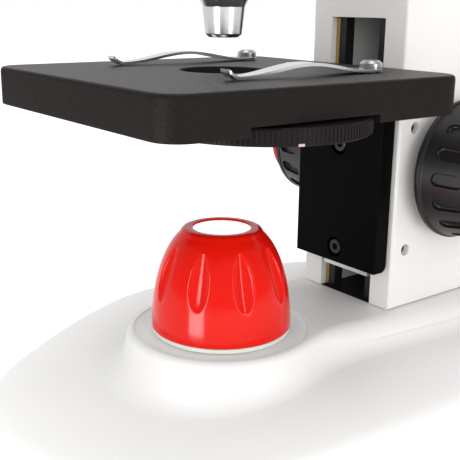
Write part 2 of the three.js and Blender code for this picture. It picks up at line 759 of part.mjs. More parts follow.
// A rack with straight-sided teeth facing +Y; one tooth gap is centred on the drive's height.
function makeRack() {
  const pitch = Math.PI * TOOTH_MODULE;
  const [low, high] = [DRIVE_Z - 22, DRIVE_Z + 22];
  const tip = RACK_PITCH_Y + TOOTH_ADDENDUM * TOOTH_MODULE;
  const root = RACK_PITCH_Y - TOOTH_DEDENDUM * TOOTH_MODULE;
  const lean = Math.tan(PRESSURE_ANGLE);
  const halfThickness = pitch / 4 - TOOTH_PLAY / 4;
  const tipHalf = halfThickness - (tip - RACK_PITCH_Y) * lean;
  const rootHalf = halfThickness + (RACK_PITCH_Y - root) * lean;
  const s = new THREE.Shape();
  s.moveTo(FLANGE_BACK + GAP, low);
  s.lineTo(root, low);
  const first = Math.ceil((low + rootHalf - DRIVE_Z) / pitch - 0.5);
  const last = Math.floor((high - rootHalf - DRIVE_Z) / pitch - 0.5);
  for (let k = first; k <= last; k++) {
    const z = DRIVE_Z + (k + 0.5) * pitch;
    s.lineTo(root, z - rootHalf);
    s.lineTo(tip, z - tipHalf);
    s.lineTo(tip, z + tipHalf);
    s.lineTo(root, z + rootHalf);
  }
  s.lineTo(root, high);
  s.lineTo(FLANGE_BACK + GAP, high);
  return sideSlab(s, RACK_HALF_WIDTH);
}

// The pinion's outline with involute flanks, and one tooth pointing to -Y, at the rack.
function pinionOutline() {
  const base = PITCH_RADIUS * Math.cos(PRESSURE_ANGLE);
  const tip = PITCH_RADIUS + TOOTH_ADDENDUM * TOOTH_MODULE;
  const root = PITCH_RADIUS - TOOTH_DEDENDUM * TOOTH_MODULE;
  const involute = (r) => Math.tan(Math.acos(base / r)) - Math.acos(base / r);
  const halfPitchAngle = (Math.PI / 2 - TOOTH_PLAY / 2 / TOOTH_MODULE) / PINION_TEETH;
  const flank = [root, base, (base + tip) / 2, tip].map((r) => {
    const spread = halfPitchAngle + involute(PITCH_RADIUS) - involute(Math.max(r, base));
    return [r, spread];
  });
  const points = [];
  for (let k = 0; k < PINION_TEETH; k++) {
    const middle = Math.PI + (2 * Math.PI * k) / PINION_TEETH;
    for (const [r, spread] of flank) {
      points.push(new THREE.Vector2(r * Math.cos(middle - spread), r * Math.sin(middle - spread)));
    }
    for (const [r, spread] of flank.toReversed()) {
      points.push(new THREE.Vector2(r * Math.cos(middle + spread), r * Math.sin(middle + spread)));
    }
  }
  return new THREE.Shape(points);
}

function makePinionShaft() {
  const half = KNOB_INNER_X + 9;
  const shaft = alongX(rod(SHAFT_RADIUS, -half, half, 20));
  const bore = alongX(rod(FINE_SHAFT_RADIUS + GAP, -half - BITE, half + BITE, 14));
  const pinion = sideSlab(pinionOutline(), RACK_HALF_WIDTH + 1);
  return cut(join(shaft, pinion), bore).translate(0, DRIVE_Y, DRIVE_Z);
}

function makeBush(side) {
  const inner = CHANNEL_HALF_WIDTH + GAP;
  return alongX(ring(SHAFT_RADIUS + GAP, BUSH_RADIUS, inner, ARM_WIDTH / 2, 20), side);
}

function makeCoarseKnob(side) {
  const length = KNOB_OUTER_X - KNOB_INNER_X;
  const hub = SHAFT_RADIUS + GAP;
  const step = KNOB_END_RADIUS - RING_STEP - GAP;
  const body = turned(
    [
      [hub, 0.5],
      [KNOB_RIM_RADIUS - 1.5, 0],
      [KNOB_RIM_RADIUS, 1],
      [KNOB_RIM_RADIUS, KNOB_RIM_WIDTH - 0.6],
      [KNOB_RIM_RADIUS - 0.6, KNOB_RIM_WIDTH],
      [KNOB_END_RADIUS, length - RING_WIDTH - GAP],
      [step, length - RING_WIDTH - GAP],
      [step, length],
      [FINE_KNOB_RADIUS + 1, length],
      [FINE_KNOB_RADIUS + 1, length - 6],
      [hub, length - 6],
      [hub, 0.5],
    ],
  );
  return alongX(body.translate(0, 0, KNOB_INNER_X), side);
}

function makeKnobRing(side) {
  const step = KNOB_END_RADIUS - RING_STEP;
  return alongX(ring(step, KNOB_END_RADIUS, KNOB_OUTER_X - RING_WIDTH, KNOB_OUTER_X - GAP), side);
}

function makeFineKnob(side) {
  const start = KNOB_OUTER_X - 6 + GAP;
  const end = KNOB_OUTER_X + FINE_KNOB_LENGTH;
  const bore = FINE_SHAFT_RADIUS + GAP;
  const body = turned(
    [[bore, start], [FINE_KNOB_RADIUS - 2, start], [FINE_KNOB_RADIUS, start + 3],
      [FINE_KNOB_RADIUS, end - 2], [FINE_KNOB_RADIUS - 2, end], [0, end], [0, end - 3],
      [bore, end - 3], [bore, start]],
    20,
  );
  return alongX(body, side);
}

function makeFineShaft() {
  const half = KNOB_OUTER_X + FINE_KNOB_LENGTH - 3 - GAP;
  return alongX(rod(FINE_SHAFT_RADIUS, -half, half, 16));
}

// ---------------------------------------------------------------- stage

function makeBracket() {
  const back = BRACKET_FRONT + BRACKET_THICKNESS;
  const top = STAGE_TOP - STAGE_PLATE - GAP;
  const s = new THREE.Shape();
  s.moveTo(BRACKET_FRONT, BRACKET_BOTTOM);
  s.lineTo(back, BRACKET_BOTTOM);
  s.lineTo(back, top);
  s.lineTo(BRACKET_FRONT - BRACKET_LEG, top);
  s.lineTo(BRACKET_FRONT - BRACKET_LEG, top - BRACKET_LEG_THICKNESS);
  s.lineTo(BRACKET_FRONT, top - BRACKET_LEG_THICKNESS);
  const seatY = BRACKET_FRONT + BRACKET_BORE_DEPTH;
  const bores = [
    rod(BRACKET_BORE_RADIUS, 0, BRACKET_BORE_DEPTH + BITE, 24),
    rod(SOCKET_SHANK_RADIUS + GAP, -8, BITE, 16),
  ];
  const screwBores = BRACKET_SCREW_Z.flatMap((z) =>
    bores.map((bore) => bore.clone().rotateX(Math.PI / 2).translate(0, seatY, z)),
  );
  const legBore = rod(STAGE_SCREW_RADIUS + GAP, top - BRACKET_LEG_THICKNESS - BITE, top + BITE, 16);
  const legBores = [-STAGE_SCREW_X, STAGE_SCREW_X].map((x) =>
    legBore.clone().translate(x, STAGE_SCREW_Y, 0),
  );
  return cut(sideSlab(s, BRACKET_HALF_WIDTH, 0.5), ...screwBores, ...legBores);
}

// A socket-head screw that points to +Y, its head at y = 0.
function makeBracketScrew() {
  const body = turned(
    [
      [0, SOCKET_HEAD_DROP],
      [SOCKET_HEAD_RADIUS, SOCKET_HEAD_DROP],
      [SOCKET_HEAD_RADIUS, SOCKET_HEAD_END],
      [SOCKET_SHANK_RADIUS, SOCKET_HEAD_END],
      [SOCKET_SHANK_RADIUS, SOCKET_LENGTH],
      [0, SOCKET_LENGTH],
    ],
    24,
  );
  const socket = rod(SOCKET_RADIUS, -BITE, SOCKET_DEPTH, 6);
  return cut(body, socket).rotateX(-Math.PI / 2);
}

function makeStagePlate() {
  const [left, right] = [-STAGE_WIDTH / 2, STAGE_WIDTH / 2];
  const outline = roundedRectangle(left, right, STAGE_FRONT, STAGE_BACK, STAGE_CORNER);
  const slab = new THREE.ExtrudeGeometry(outline, {
    depth: STAGE_TOP - STAGE_BOTTOM - STAGE_EDGE,
    curveSegments: 5,
    bevelThickness: STAGE_EDGE,
    bevelSize: STAGE_EDGE,
    bevelOffset: -STAGE_EDGE,
    bevelSegments: 1,
  }).translate(0, 0, STAGE_BOTTOM);
  const [front, back] = [STAGE_FRONT - BITE, STAGE_BACK + BITE];
  const below = block(left - BITE, right + BITE, front, back, DISC_BOTTOM - 2 * BITE, STAGE_BOTTOM);
  const inner = roundedRectangle(
    left + STAGE_SKIRT,
    right - STAGE_SKIRT,
    STAGE_FRONT + STAGE_SKIRT,
    STAGE_BACK - STAGE_SKIRT,
    STAGE_CORNER - STAGE_SKIRT,
  );
  const underside = STAGE_TOP - STAGE_PLATE;
  const hollow = extruded(inner, STAGE_BOTTOM - BITE, underside, 5);
  const discTop = DISC_BOTTOM + DISC_THICKNESS;
  const boss = rod(5, discTop + GAP, underside + BITE, 20).translate(DISC_X, DISC_Y, 0);
  const pivotBore = rod(PIVOT_RADIUS + GAP, DISC_BOTTOM, underside + 1.2, 10);
  const postBore = rod(CLIP_POST_RADIUS + GAP, STAGE_BOTTOM, STAGE_TOP + BITE, 10);
  const sunk = turned(
    [
      [0, underside - BITE],
      [STAGE_SCREW_RADIUS + GAP, underside - BITE],
      [STAGE_SCREW_RADIUS + GAP, STAGE_TOP - STAGE_SCREW_CONE - GAP],
      [STAGE_SCREW_HEAD + GAP, STAGE_TOP - GAP],
      [STAGE_SCREW_HEAD + GAP, STAGE_TOP + BITE],
      [0, STAGE_TOP + BITE],
    ],
    14,
  );
  const tools = [
    rod(APERTURE_RADIUS, underside - BITE, STAGE_TOP + BITE, 28),
    block(
      right - STAGE_SKIRT - BITE,
      right + BITE,
      NOTCH_FRONT,
      NOTCH_BACK,
      STAGE_BOTTOM - BITE,
      STAGE_BOTTOM + NOTCH_HEIGHT,
    ),
    block(
      -BRACKET_HALF_WIDTH - GAP,
      BRACKET_HALF_WIDTH + GAP,
      BRACKET_FRONT - GAP - 1,
      STAGE_BACK + BITE,
      STAGE_BOTTOM - BITE,
      underside,
    ),
    pivotBore.translate(DISC_X, DISC_Y, 0),
    ...[-1, 1].map((side) => postBore.clone().translate(side * CLIP_X, CLIP_Y, 0)),
    ...[-1, 1].map((side) => sunk.clone().translate(side * STAGE_SCREW_X, STAGE_SCREW_Y, 0)),
  ];
  const shell = cut(outward(slab), below, hollow);
  return cut(join(shell, boss), ...tools);
}

function makeStageScrew() {
  const bottom = STAGE_TOP - STAGE_PLATE - GAP - BRACKET_LEG_THICKNESS;
  const top = STAGE_TOP - 0.1;
  const body = turned(
    [
      [0, bottom],
      [STAGE_SCREW_RADIUS, bottom],
      [STAGE_SCREW_RADIUS, top - STAGE_SCREW_CONE - GAP + 0.2],
      [STAGE_SCREW_HEAD, top],
      [0, top],
    ],
    20,
  );
  return cut(body, block(-3, 3, -0.5, 0.5, STAGE_TOP - 1, STAGE_TOP + BITE));
}

function makeDiaphragm() {
  const top = DISC_BOTTOM + DISC_THICKNESS;
  const body = turned(
    [
      [2 + GAP, DISC_BOTTOM + DISC_HUB_LIFT],
      [DISC_HUB_RADIUS, DISC_BOTTOM + DISC_HUB_LIFT],
      [DISC_HUB_RADIUS, top - DISC_WEB],
      [DISC_RADIUS - DISC_RIM, top - DISC_WEB],
      [DISC_RADIUS - DISC_RIM, DISC_BOTTOM],
      [DISC_RADIUS, DISC_BOTTOM],
      [DISC_RADIUS, top],
      [DISC_HUB_RADIUS, top],
      [2 + GAP, top],
      [2 + GAP, DISC_BOTTOM + DISC_HUB_LIFT],
    ],
    36,
  );
  const circle = Math.hypot(DISC_X, DISC_Y);
  const start = Math.atan2(-DISC_Y, -DISC_X);
  const holes = DISC_HOLES.map((radius, k) => {
    const a = start + (2 * Math.PI * k) / DISC_HOLES.length;
    return rod(radius, DISC_BOTTOM - BITE, top + BITE, 12).translate(
      circle * Math.cos(a),
      circle * Math.sin(a),
      0,
    );
  });
  return cut(body, ...holes);
}

function makeDiaphragmPivot() {
  const hub = DISC_BOTTOM + DISC_HUB_LIFT;
  const end = STAGE_TOP - STAGE_PLATE + 0.8;
  return turned(
    [
      [0, hub - 2],
      [PIVOT_HEAD, hub - 2],
      [PIVOT_HEAD, hub - GAP],
      [PIVOT_RADIUS, hub - GAP],
      [PIVOT_RADIUS, end],
      [0, end],
    ],
    20,
  );
}

// A spring clip that lies forward from its post, bowed up in the middle; its post is at x = 0, y = 0.
function makeClip() {
  const s = new THREE.Shape();
  const seat = STAGE_TOP + GAP;
  const steps = 8;
  const bow = (t) => seat + CLIP_BOW * Math.sin(Math.PI * t) ** 2 * (1 - 0.3 * t);
  s.moveTo(CLIP_WIDTH / 2, seat);
  for (let k = 0; k <= steps; k++) {
    const t = k / steps;
    s.lineTo(-CLIP_SEAT - t * (CLIP_LENGTH - CLIP_SEAT), bow(t));
  }
  s.lineTo(-CLIP_LENGTH - CLIP_TIP, seat + CLIP_LIFT);
  s.lineTo(-CLIP_LENGTH - CLIP_TIP, seat + CLIP_LIFT + CLIP_THICKNESS);
  for (let k = steps; k >= 0; k--) {
    const t = k / steps;
    s.lineTo(-CLIP_SEAT - t * (CLIP_LENGTH - CLIP_SEAT), bow(t) + CLIP_THICKNESS);
  }
  s.lineTo(CLIP_WIDTH / 2, seat + CLIP_THICKNESS);
  const strip = sideSlab(s, CLIP_WIDTH / 2);
  const strap = seat + CLIP_THICKNESS;
  const post = turned(
    [
      [0, STAGE_TOP - CLIP_POST_DEPTH],
      [CLIP_POST_RADIUS, STAGE_TOP - CLIP_POST_DEPTH],
      [CLIP_POST_RADIUS, strap - 0.2],
      [CLIP_POST_HEAD, strap - 0.2],
      [CLIP_POST_HEAD, strap + 2],
      [CLIP_POST_HEAD - 1, strap + 2.6],
      [0, strap + 2.6],
    ],
    20,
  );
  return join(strip, post);
}

// ---------------------------------------------------------------- nosepiece and objectives

// The turret turns about a tilted axis. Its group stands at the apex where that axis, the optical
// axis and the other objectives' axes meet; inside the group the turret's axis is -Z.
const APEX_ABOVE_SHOULDER = TURRET_HOLE_CIRCLE / Math.sin(TURRET_TILT);
const APEX_Z = SHOULDER_Z + APEX_ABOVE_SHOULDER;
const TURRET_FACE = -APEX_ABOVE_SHOULDER * Math.cos(TURRET_TILT);
const TURRET_BACK = TURRET_FACE + TURRET_THICKNESS;
const TURRET_FRAME = new THREE.Matrix4()
  .makeTranslation(0, 0, APEX_Z)
  .multiply(new THREE.Matrix4().makeRotationX(-TURRET_TILT));

// Places a piece made about the optical axis at the k-th objective's place, in the turret's group.
function atStation(geometry, k) {
  return geometry
    .clone()
    .translate(0, 0, -APEX_Z)
    .rotateX(TURRET_TILT)
    .rotateZ((2 * Math.PI * k) / OBJECTIVE_LENGTHS.length);
}

function makeNosepieceBase() {
  const body = rod(TURRET_RADIUS - 3, TURRET_BACK + GAP, -20, 40);
  const top = ARM_REACH_BOTTOM - GAP;
  const world = block(-60, 60, -60, 60, top - 60, top).applyMatrix4(TURRET_FRAME.clone().invert());
  const light = atStation(rod(LIGHT_BORE, SHOULDER_Z - 20, APEX_Z, 24), 0);
  const screwBore = rod(TURRET_SCREW_RADIUS + GAP, TURRET_BACK - BITE, TURRET_BACK + 9, 16);
  return cut(keep(body, world), light, screwBore);
}

function makeTurret() {
  const slope = Math.tan(TURRET_TILT);
  const face = (r) => TURRET_FACE + (r - TURRET_HOLE_CIRCLE) * slope;
  const body = turned(
    [
      [0, face(TURRET_BOSS)],
      [TURRET_BOSS, face(TURRET_BOSS)],
      [TURRET_RADIUS - 1, face(TURRET_RADIUS - 1)],
      [TURRET_RADIUS, face(TURRET_RADIUS) + 1],
      [TURRET_RADIUS, TURRET_BACK - 1],
      [TURRET_RADIUS - 1, TURRET_BACK],
      [0, TURRET_BACK],
    ],
    28,
  );
  const thread = rod(OBJECTIVE_THREAD + GAP, SHOULDER_Z - 4, SHOULDER_Z + 12, 16);
  const threads = OBJECTIVE_LENGTHS.map((_, k) => atStation(thread, k));
  const screwBore = rod(TURRET_SCREW_RADIUS + GAP, TURRET_FACE - 6, TURRET_BACK + BITE, 16);
  return cut(body, ...threads, screwBore);
}

function makeTurretScrew() {
  const slope = Math.tan(TURRET_TILT);
  const face = TURRET_FACE + (TURRET_BOSS - TURRET_HOLE_CIRCLE) * slope - GAP;
  const end = TURRET_BACK + 3.6;
  return turned(
    [
      [0, face - 2.5],
      [TURRET_SCREW_HEAD - 0.8, face - 2.5],
      [TURRET_SCREW_HEAD, face - 1.8],
      [TURRET_SCREW_HEAD, face],
      [TURRET_SCREW_RADIUS, face],
      [TURRET_SCREW_RADIUS, end],
      [0, end],
    ],
    20,
  );
}

// An objective's profile on the optical axis, from its thread down to its tip.
function makeObjective(k) {
  const length = OBJECTIVE_LENGTHS[k];
  const z = (drop) => SHOULDER_Z - GAP - drop;
  const bore = 3 + k;
  const barrel = OBJECTIVE_BARREL;
  const tip = OBJECTIVE_TIPS[k];
  const profile = [
    [bore, z(-OBJECTIVE_THREAD_LENGTH)],
    [OBJECTIVE_THREAD, z(-OBJECTIVE_THREAD_LENGTH)],
    [OBJECTIVE_THREAD, z(0)],
    [barrel + 1, z(0)],
    [barrel + 1, z(5)],
    [barrel - 0.5, z(6)],
    [barrel - 0.5, z(length * 0.62)],
    [tip + 2, z(length * 0.8)],
    [tip + 1.2, z(length - 1)],
    [tip, z(length)],
    [bore - 1, z(length)],
    [bore, z(length - 2)],
    [bore, z(-OBJECTIVE_THREAD_LENGTH)],
  ];
  return atStation(turned(profile, 16), k);
}

// ---------------------------------------------------------------- head

function headOutline() {
  const seat = ARM_REACH_TOP + GAP;
  const centre = new THREE.Vector2(
    TUBE_START * Math.sin(TUBE_TILT),
    PRISM_Z + TUBE_START * Math.cos(TUBE_TILT),
  );
  const along = new THREE.Vector2(Math.cos(TUBE_TILT), -Math.sin(TUBE_TILT));
  const upper = centre.clone().addScaledVector(along, -TUBE_RADIUS - 3);
  const lower = centre.clone().addScaledVector(along, TUBE_RADIUS + 3);
  const s = new THREE.Shape();
  s.moveTo(-22, seat);
  s.lineTo(22, seat);
  s.quadraticCurveTo(24, lower.y - 18, lower.x, lower.y);
  s.lineTo(upper.x, upper.y);
  s.quadraticCurveTo(-22, upper.y - 4, -22, PRISM_Z);
  return s;
}

// Places a piece made about Z on the inclined tube's axis, its zero at the prism.
function onTube(geometry) {
  return geometry.rotateX(-TUBE_TILT).translate(0, 0, PRISM_Z);
}

function makeHead() {
  const seat = ARM_REACH_TOP + GAP;
  const grooveFloor = HEAD_NECK_RADIUS - HEAD_GROOVE_DEPTH;
  const grooveHalf = HEAD_LOCK_RADIUS + GAP;
  const neck = rod(HEAD_NECK_RADIUS, ARM_REACH_TOP - HEAD_NECK_DEPTH, seat + BITE, 28);
  const chamber = block(-10.3, 10.3, -12, 12, PRISM_Z - 12, PRISM_Z + 12);
  return cut(
    join(sideSlab(headOutline(), HEAD_WIDTH / 2, 1.5), neck),
    chamber,
    rod(LIGHT_BORE, ARM_REACH_TOP - HEAD_NECK_DEPTH - BITE, PRISM_Z, 20),
    onTube(rod(TUBE_BORE - 1.5, 0, TUBE_START + BITE, 20)),
    ring(grooveFloor, HEAD_NECK_RADIUS + BITE, HEAD_LOCK_Z - grooveHalf, HEAD_LOCK_Z + grooveHalf, 28),
  );
}

function makePrism() {
  const s = new THREE.Shape();
  s.moveTo(-10.5, PRISM_Z - 12 + GAP);
  s.lineTo(10.5, PRISM_Z - 12 + GAP);
  s.lineTo(-10.5, PRISM_Z + 9);
  return sideSlab(s, 10);
}

// The screw that locks the head, in the front of the arm's ring.
function makeHeadLockScrew() {
  const tip = HEAD_NECK_RADIUS - HEAD_GROOVE_DEPTH + GAP;
  const out = ARM_RING_RADIUS;
  return turned(
    [[0, tip], [HEAD_LOCK_RADIUS, tip], [HEAD_LOCK_RADIUS, out + 0.5], [5, out + 0.5],
      [5.4, out + 1.5], [5.4, out + 7], [4.6, out + 8], [0, out + 8]],
    16,
  ).rotateX(Math.PI / 2).translate(0, 0, HEAD_LOCK_Z);
}

function makeEyepieceTube() {
  const [start, end] = [TUBE_START + GAP, TUBE_START + TUBE_LENGTH];
  return onTube(
    turned(
      [
        [TUBE_BORE, start],
        [TUBE_RADIUS + 1.5, start],
        [TUBE_RADIUS + 1.5, start + 3],
        [TUBE_RADIUS, start + 4.5],
        [TUBE_RADIUS, end - 1],
        [TUBE_RADIUS - 1, end],
        [TUBE_BORE, end],
        [TUBE_BORE, start],
      ],
      20,
    ),
  );
}

function makeEyepiece() {
  const seat = TUBE_START + TUBE_LENGTH + GAP;
  const shank = TUBE_BORE - GAP;
  const top = seat + EYEPIECE_HEAD;
  return onTube(
    turned(
      [
        [shank - EYE_WALL, seat - EYEPIECE_SHANK],
        [shank, seat - EYEPIECE_SHANK],
        [shank, seat],
        [EYEPIECE_RADIUS - 1, seat],
        [EYEPIECE_RADIUS, seat + 1],
        [EYEPIECE_RADIUS, top - 9],
        [EYEPIECE_RADIUS - 2, top - 2],
        [EYEPIECE_RADIUS - 3, top],
        [11.5, top],
        [EYE_MOUTH_RADIUS, top - EYE_MOUTH_DEPTH],
        [EYE_MOUTH_RADIUS, top - EYE_SEAT_DEPTH],
        [shank - EYE_WALL, top - EYE_SEAT_DEPTH],
        [shank - EYE_WALL, seat - EYEPIECE_SHANK],
      ],
      20,
    ),
  );
}

function makeEyeLens() {
  const top = TUBE_START + TUBE_LENGTH + GAP + EYEPIECE_HEAD;
  const radius = EYE_MOUTH_RADIUS - GAP;
  return onTube(
    turned([[0, top - 8.2], [radius, top - 7.4], [radius, top - 5], [6, top - 4.2], [0, top - 3.8]], 20),
  );
}

// ---------------------------------------------------------------- assembly

const microscope = new THREE.Group();
microscope.position.set(0, (BASE_FRONT - BASE_BACK) / 2, 0);

function add(name, geometry, material, parent = microscope) {
  const mesh = new THREE.Mesh(geometry, material);
  mesh.name = name;
  parent.add(mesh);
  return mesh;
}

function addBase() {
  add("base_shell", makeBaseShell(), WHITE_GLOSS);
  add("base_cover", makeBaseCover(), BLACK_MATTE);
  FEET.forEach(([x, y], i) => add("rubber_foot_" + (i + 1), makeFoot(), RUBBER).position.set(x, y, 0));
  COVER_SCREWS.forEach(([x, y], i) =>
    add("cover_screw_" + (i + 1), makeCoverScrew(), STEEL).position.set(x, y, 0),
  );
  for (let i = 0; i < CELL_COUNT; i++) add("battery_cell_" + (i + 1), makeCell(i), CELL_JACKET);
  add("battery_door", makeBatteryDoor(), BLACK_MATTE);
  add("power_switch", makePowerSwitch(), BLACK_SATIN);
}

function addLamp() {
  add("lamp_collar", makeCollar(), CREAM);
  add("led_board", makeLedBoard(), BOARD_GREEN);
  add("led_emitter", makeLed(), FROSTED);
  add("lamp_dome", makeDome(), RED_GLOSS);
  add("lamp_window", makeWindow(), FROSTED);
}

function addArm() {
  add("arm", makeArm(), WHITE_PAINT);
  add("arm_bolt_left", makeArmBolt(), STEEL).position.set(-BOLT_X, BOLT_Y, 0);
  add("arm_bolt_right", makeArmBolt(), STEEL).position.set(BOLT_X, BOLT_Y, 0);
  add("guide_rail_left", makeGuideRail(-1), BRASS);
  add("guide_rail_right", makeGuideRail(1), BRASS);
}

function addDrive() {
  const axle = new THREE.Group();
  axle.position.set(0, DRIVE_Y, DRIVE_Z);
  microscope.add(axle);
  add("pinion_shaft", makePinionShaft().translate(0, -DRIVE_Y, -DRIVE_Z), STEEL, axle);
  add("fine_shaft", makeFineShaft(), STEEL, axle);
  for (const [label, side] of [["left", -1], ["right", 1]]) {
    add("shaft_bush_" + label, makeBush(side), BRASS, axle);
    add("coarse_knob_" + label, makeCoarseKnob(side), BLACK_SATIN, axle);
    add("knob_ring_" + label, makeKnobRing(side), RED_GLOSS, axle);
    add("fine_knob_" + label, makeFineKnob(side), BLACK_SATIN, axle);
  }
}

function addStage() {
  add("slide_plate", makeSlide(), ALUMINIUM);
  add("focus_rack", makeRack(), BRASS);
  add("stage_bracket", makeBracket(), BLACK_MATTE);
  BRACKET_SCREW_Z.forEach((z, i) =>
    add("bracket_screw_" + (i + 1), makeBracketScrew(), STEEL).position.set(0, BRACKET_FRONT, z),
  );
  add("stage_plate", makeStagePlate(), BLACK_CRINKLE);
  add("stage_screw_left", makeStageScrew(), STEEL).position.set(-STAGE_SCREW_X, STAGE_SCREW_Y, 0);
  add("stage_screw_right", makeStageScrew(), STEEL).position.set(STAGE_SCREW_X, STAGE_SCREW_Y, 0);
  add("diaphragm_disc", makeDiaphragm(), BLACK_MATTE).position.set(DISC_X, DISC_Y, 0);
  add("diaphragm_pivot", makeDiaphragmPivot(), STEEL).position.set(DISC_X, DISC_Y, 0);
  add("stage_clip_left", makeClip(), STEEL).position.set(-CLIP_X, CLIP_Y, 0);
  add("stage_clip_right", makeClip(), STEEL).position.set(CLIP_X, CLIP_Y, 0);
}

function addNosepiece() {
  const nose = new THREE.Group();
  nose.applyMatrix4(TURRET_FRAME);
  microscope.add(nose);
  add("nosepiece_base", makeNosepieceBase(), BLACK_SATIN, nose);
  add("turret", makeTurret(), BLACK_SATIN, nose);
  add("turret_screw", makeTurretScrew(), STEEL, nose);
  OBJECTIVE_NAMES.forEach((name, k) => add(name, makeObjective(k), STEEL, nose));
}

function addHead() {
  add("head_body", makeHead(), WHITE_PAINT);
  add("head_prism", makePrism(), GLASS);
  add("head_lock_screw", makeHeadLockScrew(), BLACK_SATIN);
  add("eyepiece_tube", makeEyepieceTube(), WHITE_PAINT);
  add("eyepiece", makeEyepiece(), BLACK_SATIN);
  add("eye_lens", makeEyeLens(), GLASS);
}

addBase();
addLamp();
addArm();
addDrive();
addStage();
addNosepiece();
addHead();

export default microscope;
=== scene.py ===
"""Looks of a student's monocular microscope with a lit base.

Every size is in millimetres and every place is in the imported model's own frame: +Z up, -Y towards
the front of the stage, +X to the right. Meshes are turned into metres when a piece is published.
"""

from __future__ import annotations

import json
import logging
import math
from collections.abc import Callable, Iterable, Sequence
from dataclasses import dataclass, field
from enum import Enum

import bmesh
import bpy
import numpy as np
from mathutils import Matrix, Vector

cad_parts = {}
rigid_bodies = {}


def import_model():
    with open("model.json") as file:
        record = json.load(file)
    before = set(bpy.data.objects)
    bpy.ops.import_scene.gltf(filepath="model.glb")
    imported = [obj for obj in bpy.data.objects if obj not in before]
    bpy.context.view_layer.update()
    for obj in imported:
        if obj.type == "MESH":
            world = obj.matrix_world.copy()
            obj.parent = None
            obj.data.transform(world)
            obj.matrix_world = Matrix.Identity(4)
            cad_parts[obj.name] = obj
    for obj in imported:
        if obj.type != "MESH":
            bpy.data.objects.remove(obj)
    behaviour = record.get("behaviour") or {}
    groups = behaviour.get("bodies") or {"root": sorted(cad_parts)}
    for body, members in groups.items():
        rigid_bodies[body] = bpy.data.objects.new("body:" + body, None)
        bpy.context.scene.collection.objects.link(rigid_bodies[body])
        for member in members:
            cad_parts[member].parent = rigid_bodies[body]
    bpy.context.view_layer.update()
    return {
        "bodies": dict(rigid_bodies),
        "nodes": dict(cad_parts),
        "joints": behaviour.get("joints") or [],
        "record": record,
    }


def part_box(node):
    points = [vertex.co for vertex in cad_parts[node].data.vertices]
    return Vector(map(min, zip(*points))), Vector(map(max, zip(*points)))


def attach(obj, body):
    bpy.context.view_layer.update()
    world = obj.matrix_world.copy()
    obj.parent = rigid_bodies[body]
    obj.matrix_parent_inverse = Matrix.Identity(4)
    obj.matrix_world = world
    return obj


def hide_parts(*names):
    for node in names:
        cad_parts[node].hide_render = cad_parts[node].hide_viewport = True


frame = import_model()
LOG = logging.getLogger("microscope")
MM = 0.001
GAP = 0.3  # millimetres between pieces that fit together
Point2 = tuple[float, float]
Colour = tuple[float, float, float]
Corners = Sequence[Sequence[float]]
Socket = bpy.types.NodeSocket


# ---- node drawing


class Sketch:
    """A node tree drawn one node at a time, for materials and for geometry."""

    def __init__(self, tree: bpy.types.NodeTree) -> None:
        """Starts drawing in a tree.

        Args:
            tree: the tree that receives the nodes.
        """
        self.tree = tree

    def node(
        self, kind: str, settings: dict[str, object] | None = None, **inputs: object
    ) -> bpy.types.Node:
        """Adds one node.

        Args:
            kind: the node's type name.
            settings: properties of the node, such as its operation.
            **inputs: sockets by name, with _ for a space; "i0" means the first socket.

        Returns:
            The new node.
        """
        made = self.tree.nodes.new(kind)
        for key, value in (settings or {}).items():
            setattr(made, key, value)
        for key, value in inputs.items():
            numbered = key[0] == "i" and key[1:].isdigit()
            socket = made.inputs[int(key[1:]) if numbered else key.replace("_", " ")]
            self.feed(socket, value)
        return made

    def feed(self, socket: Socket, value: object) -> None:
        """Links a socket to another one, or sets its value."""
        if isinstance(value, Socket):
            self.tree.links.new(value, socket)
        elif value is not None:
            socket.default_value = value

    def math(self, operation: str, *values: object) -> Socket:
        """Adds a Math node and returns its result."""
        inputs = {f"i{k}": v for k, v in enumerate(values)}
        return self.node("ShaderNodeMath", {"operation": operation}, **inputs).outputs[0]


# ---- finishes


class Grain(Enum):
    """How a surface's fine relief runs."""

    FINE = "fine"
    CRINKLE = "crinkle"
    BRUSHED_Z = "brushed_z"
    TURNED = "turned"
    ORANGE_PEEL = "orange_peel"


class Surface:
    """What every finish shares: one material, built when a piece first asks for it."""

    name: str
    colour: Colour

    def material(self) -> bpy.types.Material:
        """Builds the material, or returns it if an earlier piece did."""
        found = bpy.data.materials.get(self.name)
        if found:
            return found
        made = bpy.data.materials.new(self.name)
        made.use_nodes = True
        made.node_tree.nodes.clear()
        sketch = Sketch(made.node_tree)
        place = sketch.node("ShaderNodeTexCoord").outputs["Object"]
        shader = self.shader(sketch, place)
        sketch.node("ShaderNodeOutputMaterial", Surface=shader)
        return made

    def shader(self, sketch: Sketch, place: Socket) -> Socket:
        """Draws the shader and returns its output.

        Args:
            sketch: the material's tree.
            place: the position on the piece.

        Returns:
            The shader's output.
        """
        raise NotImplementedError


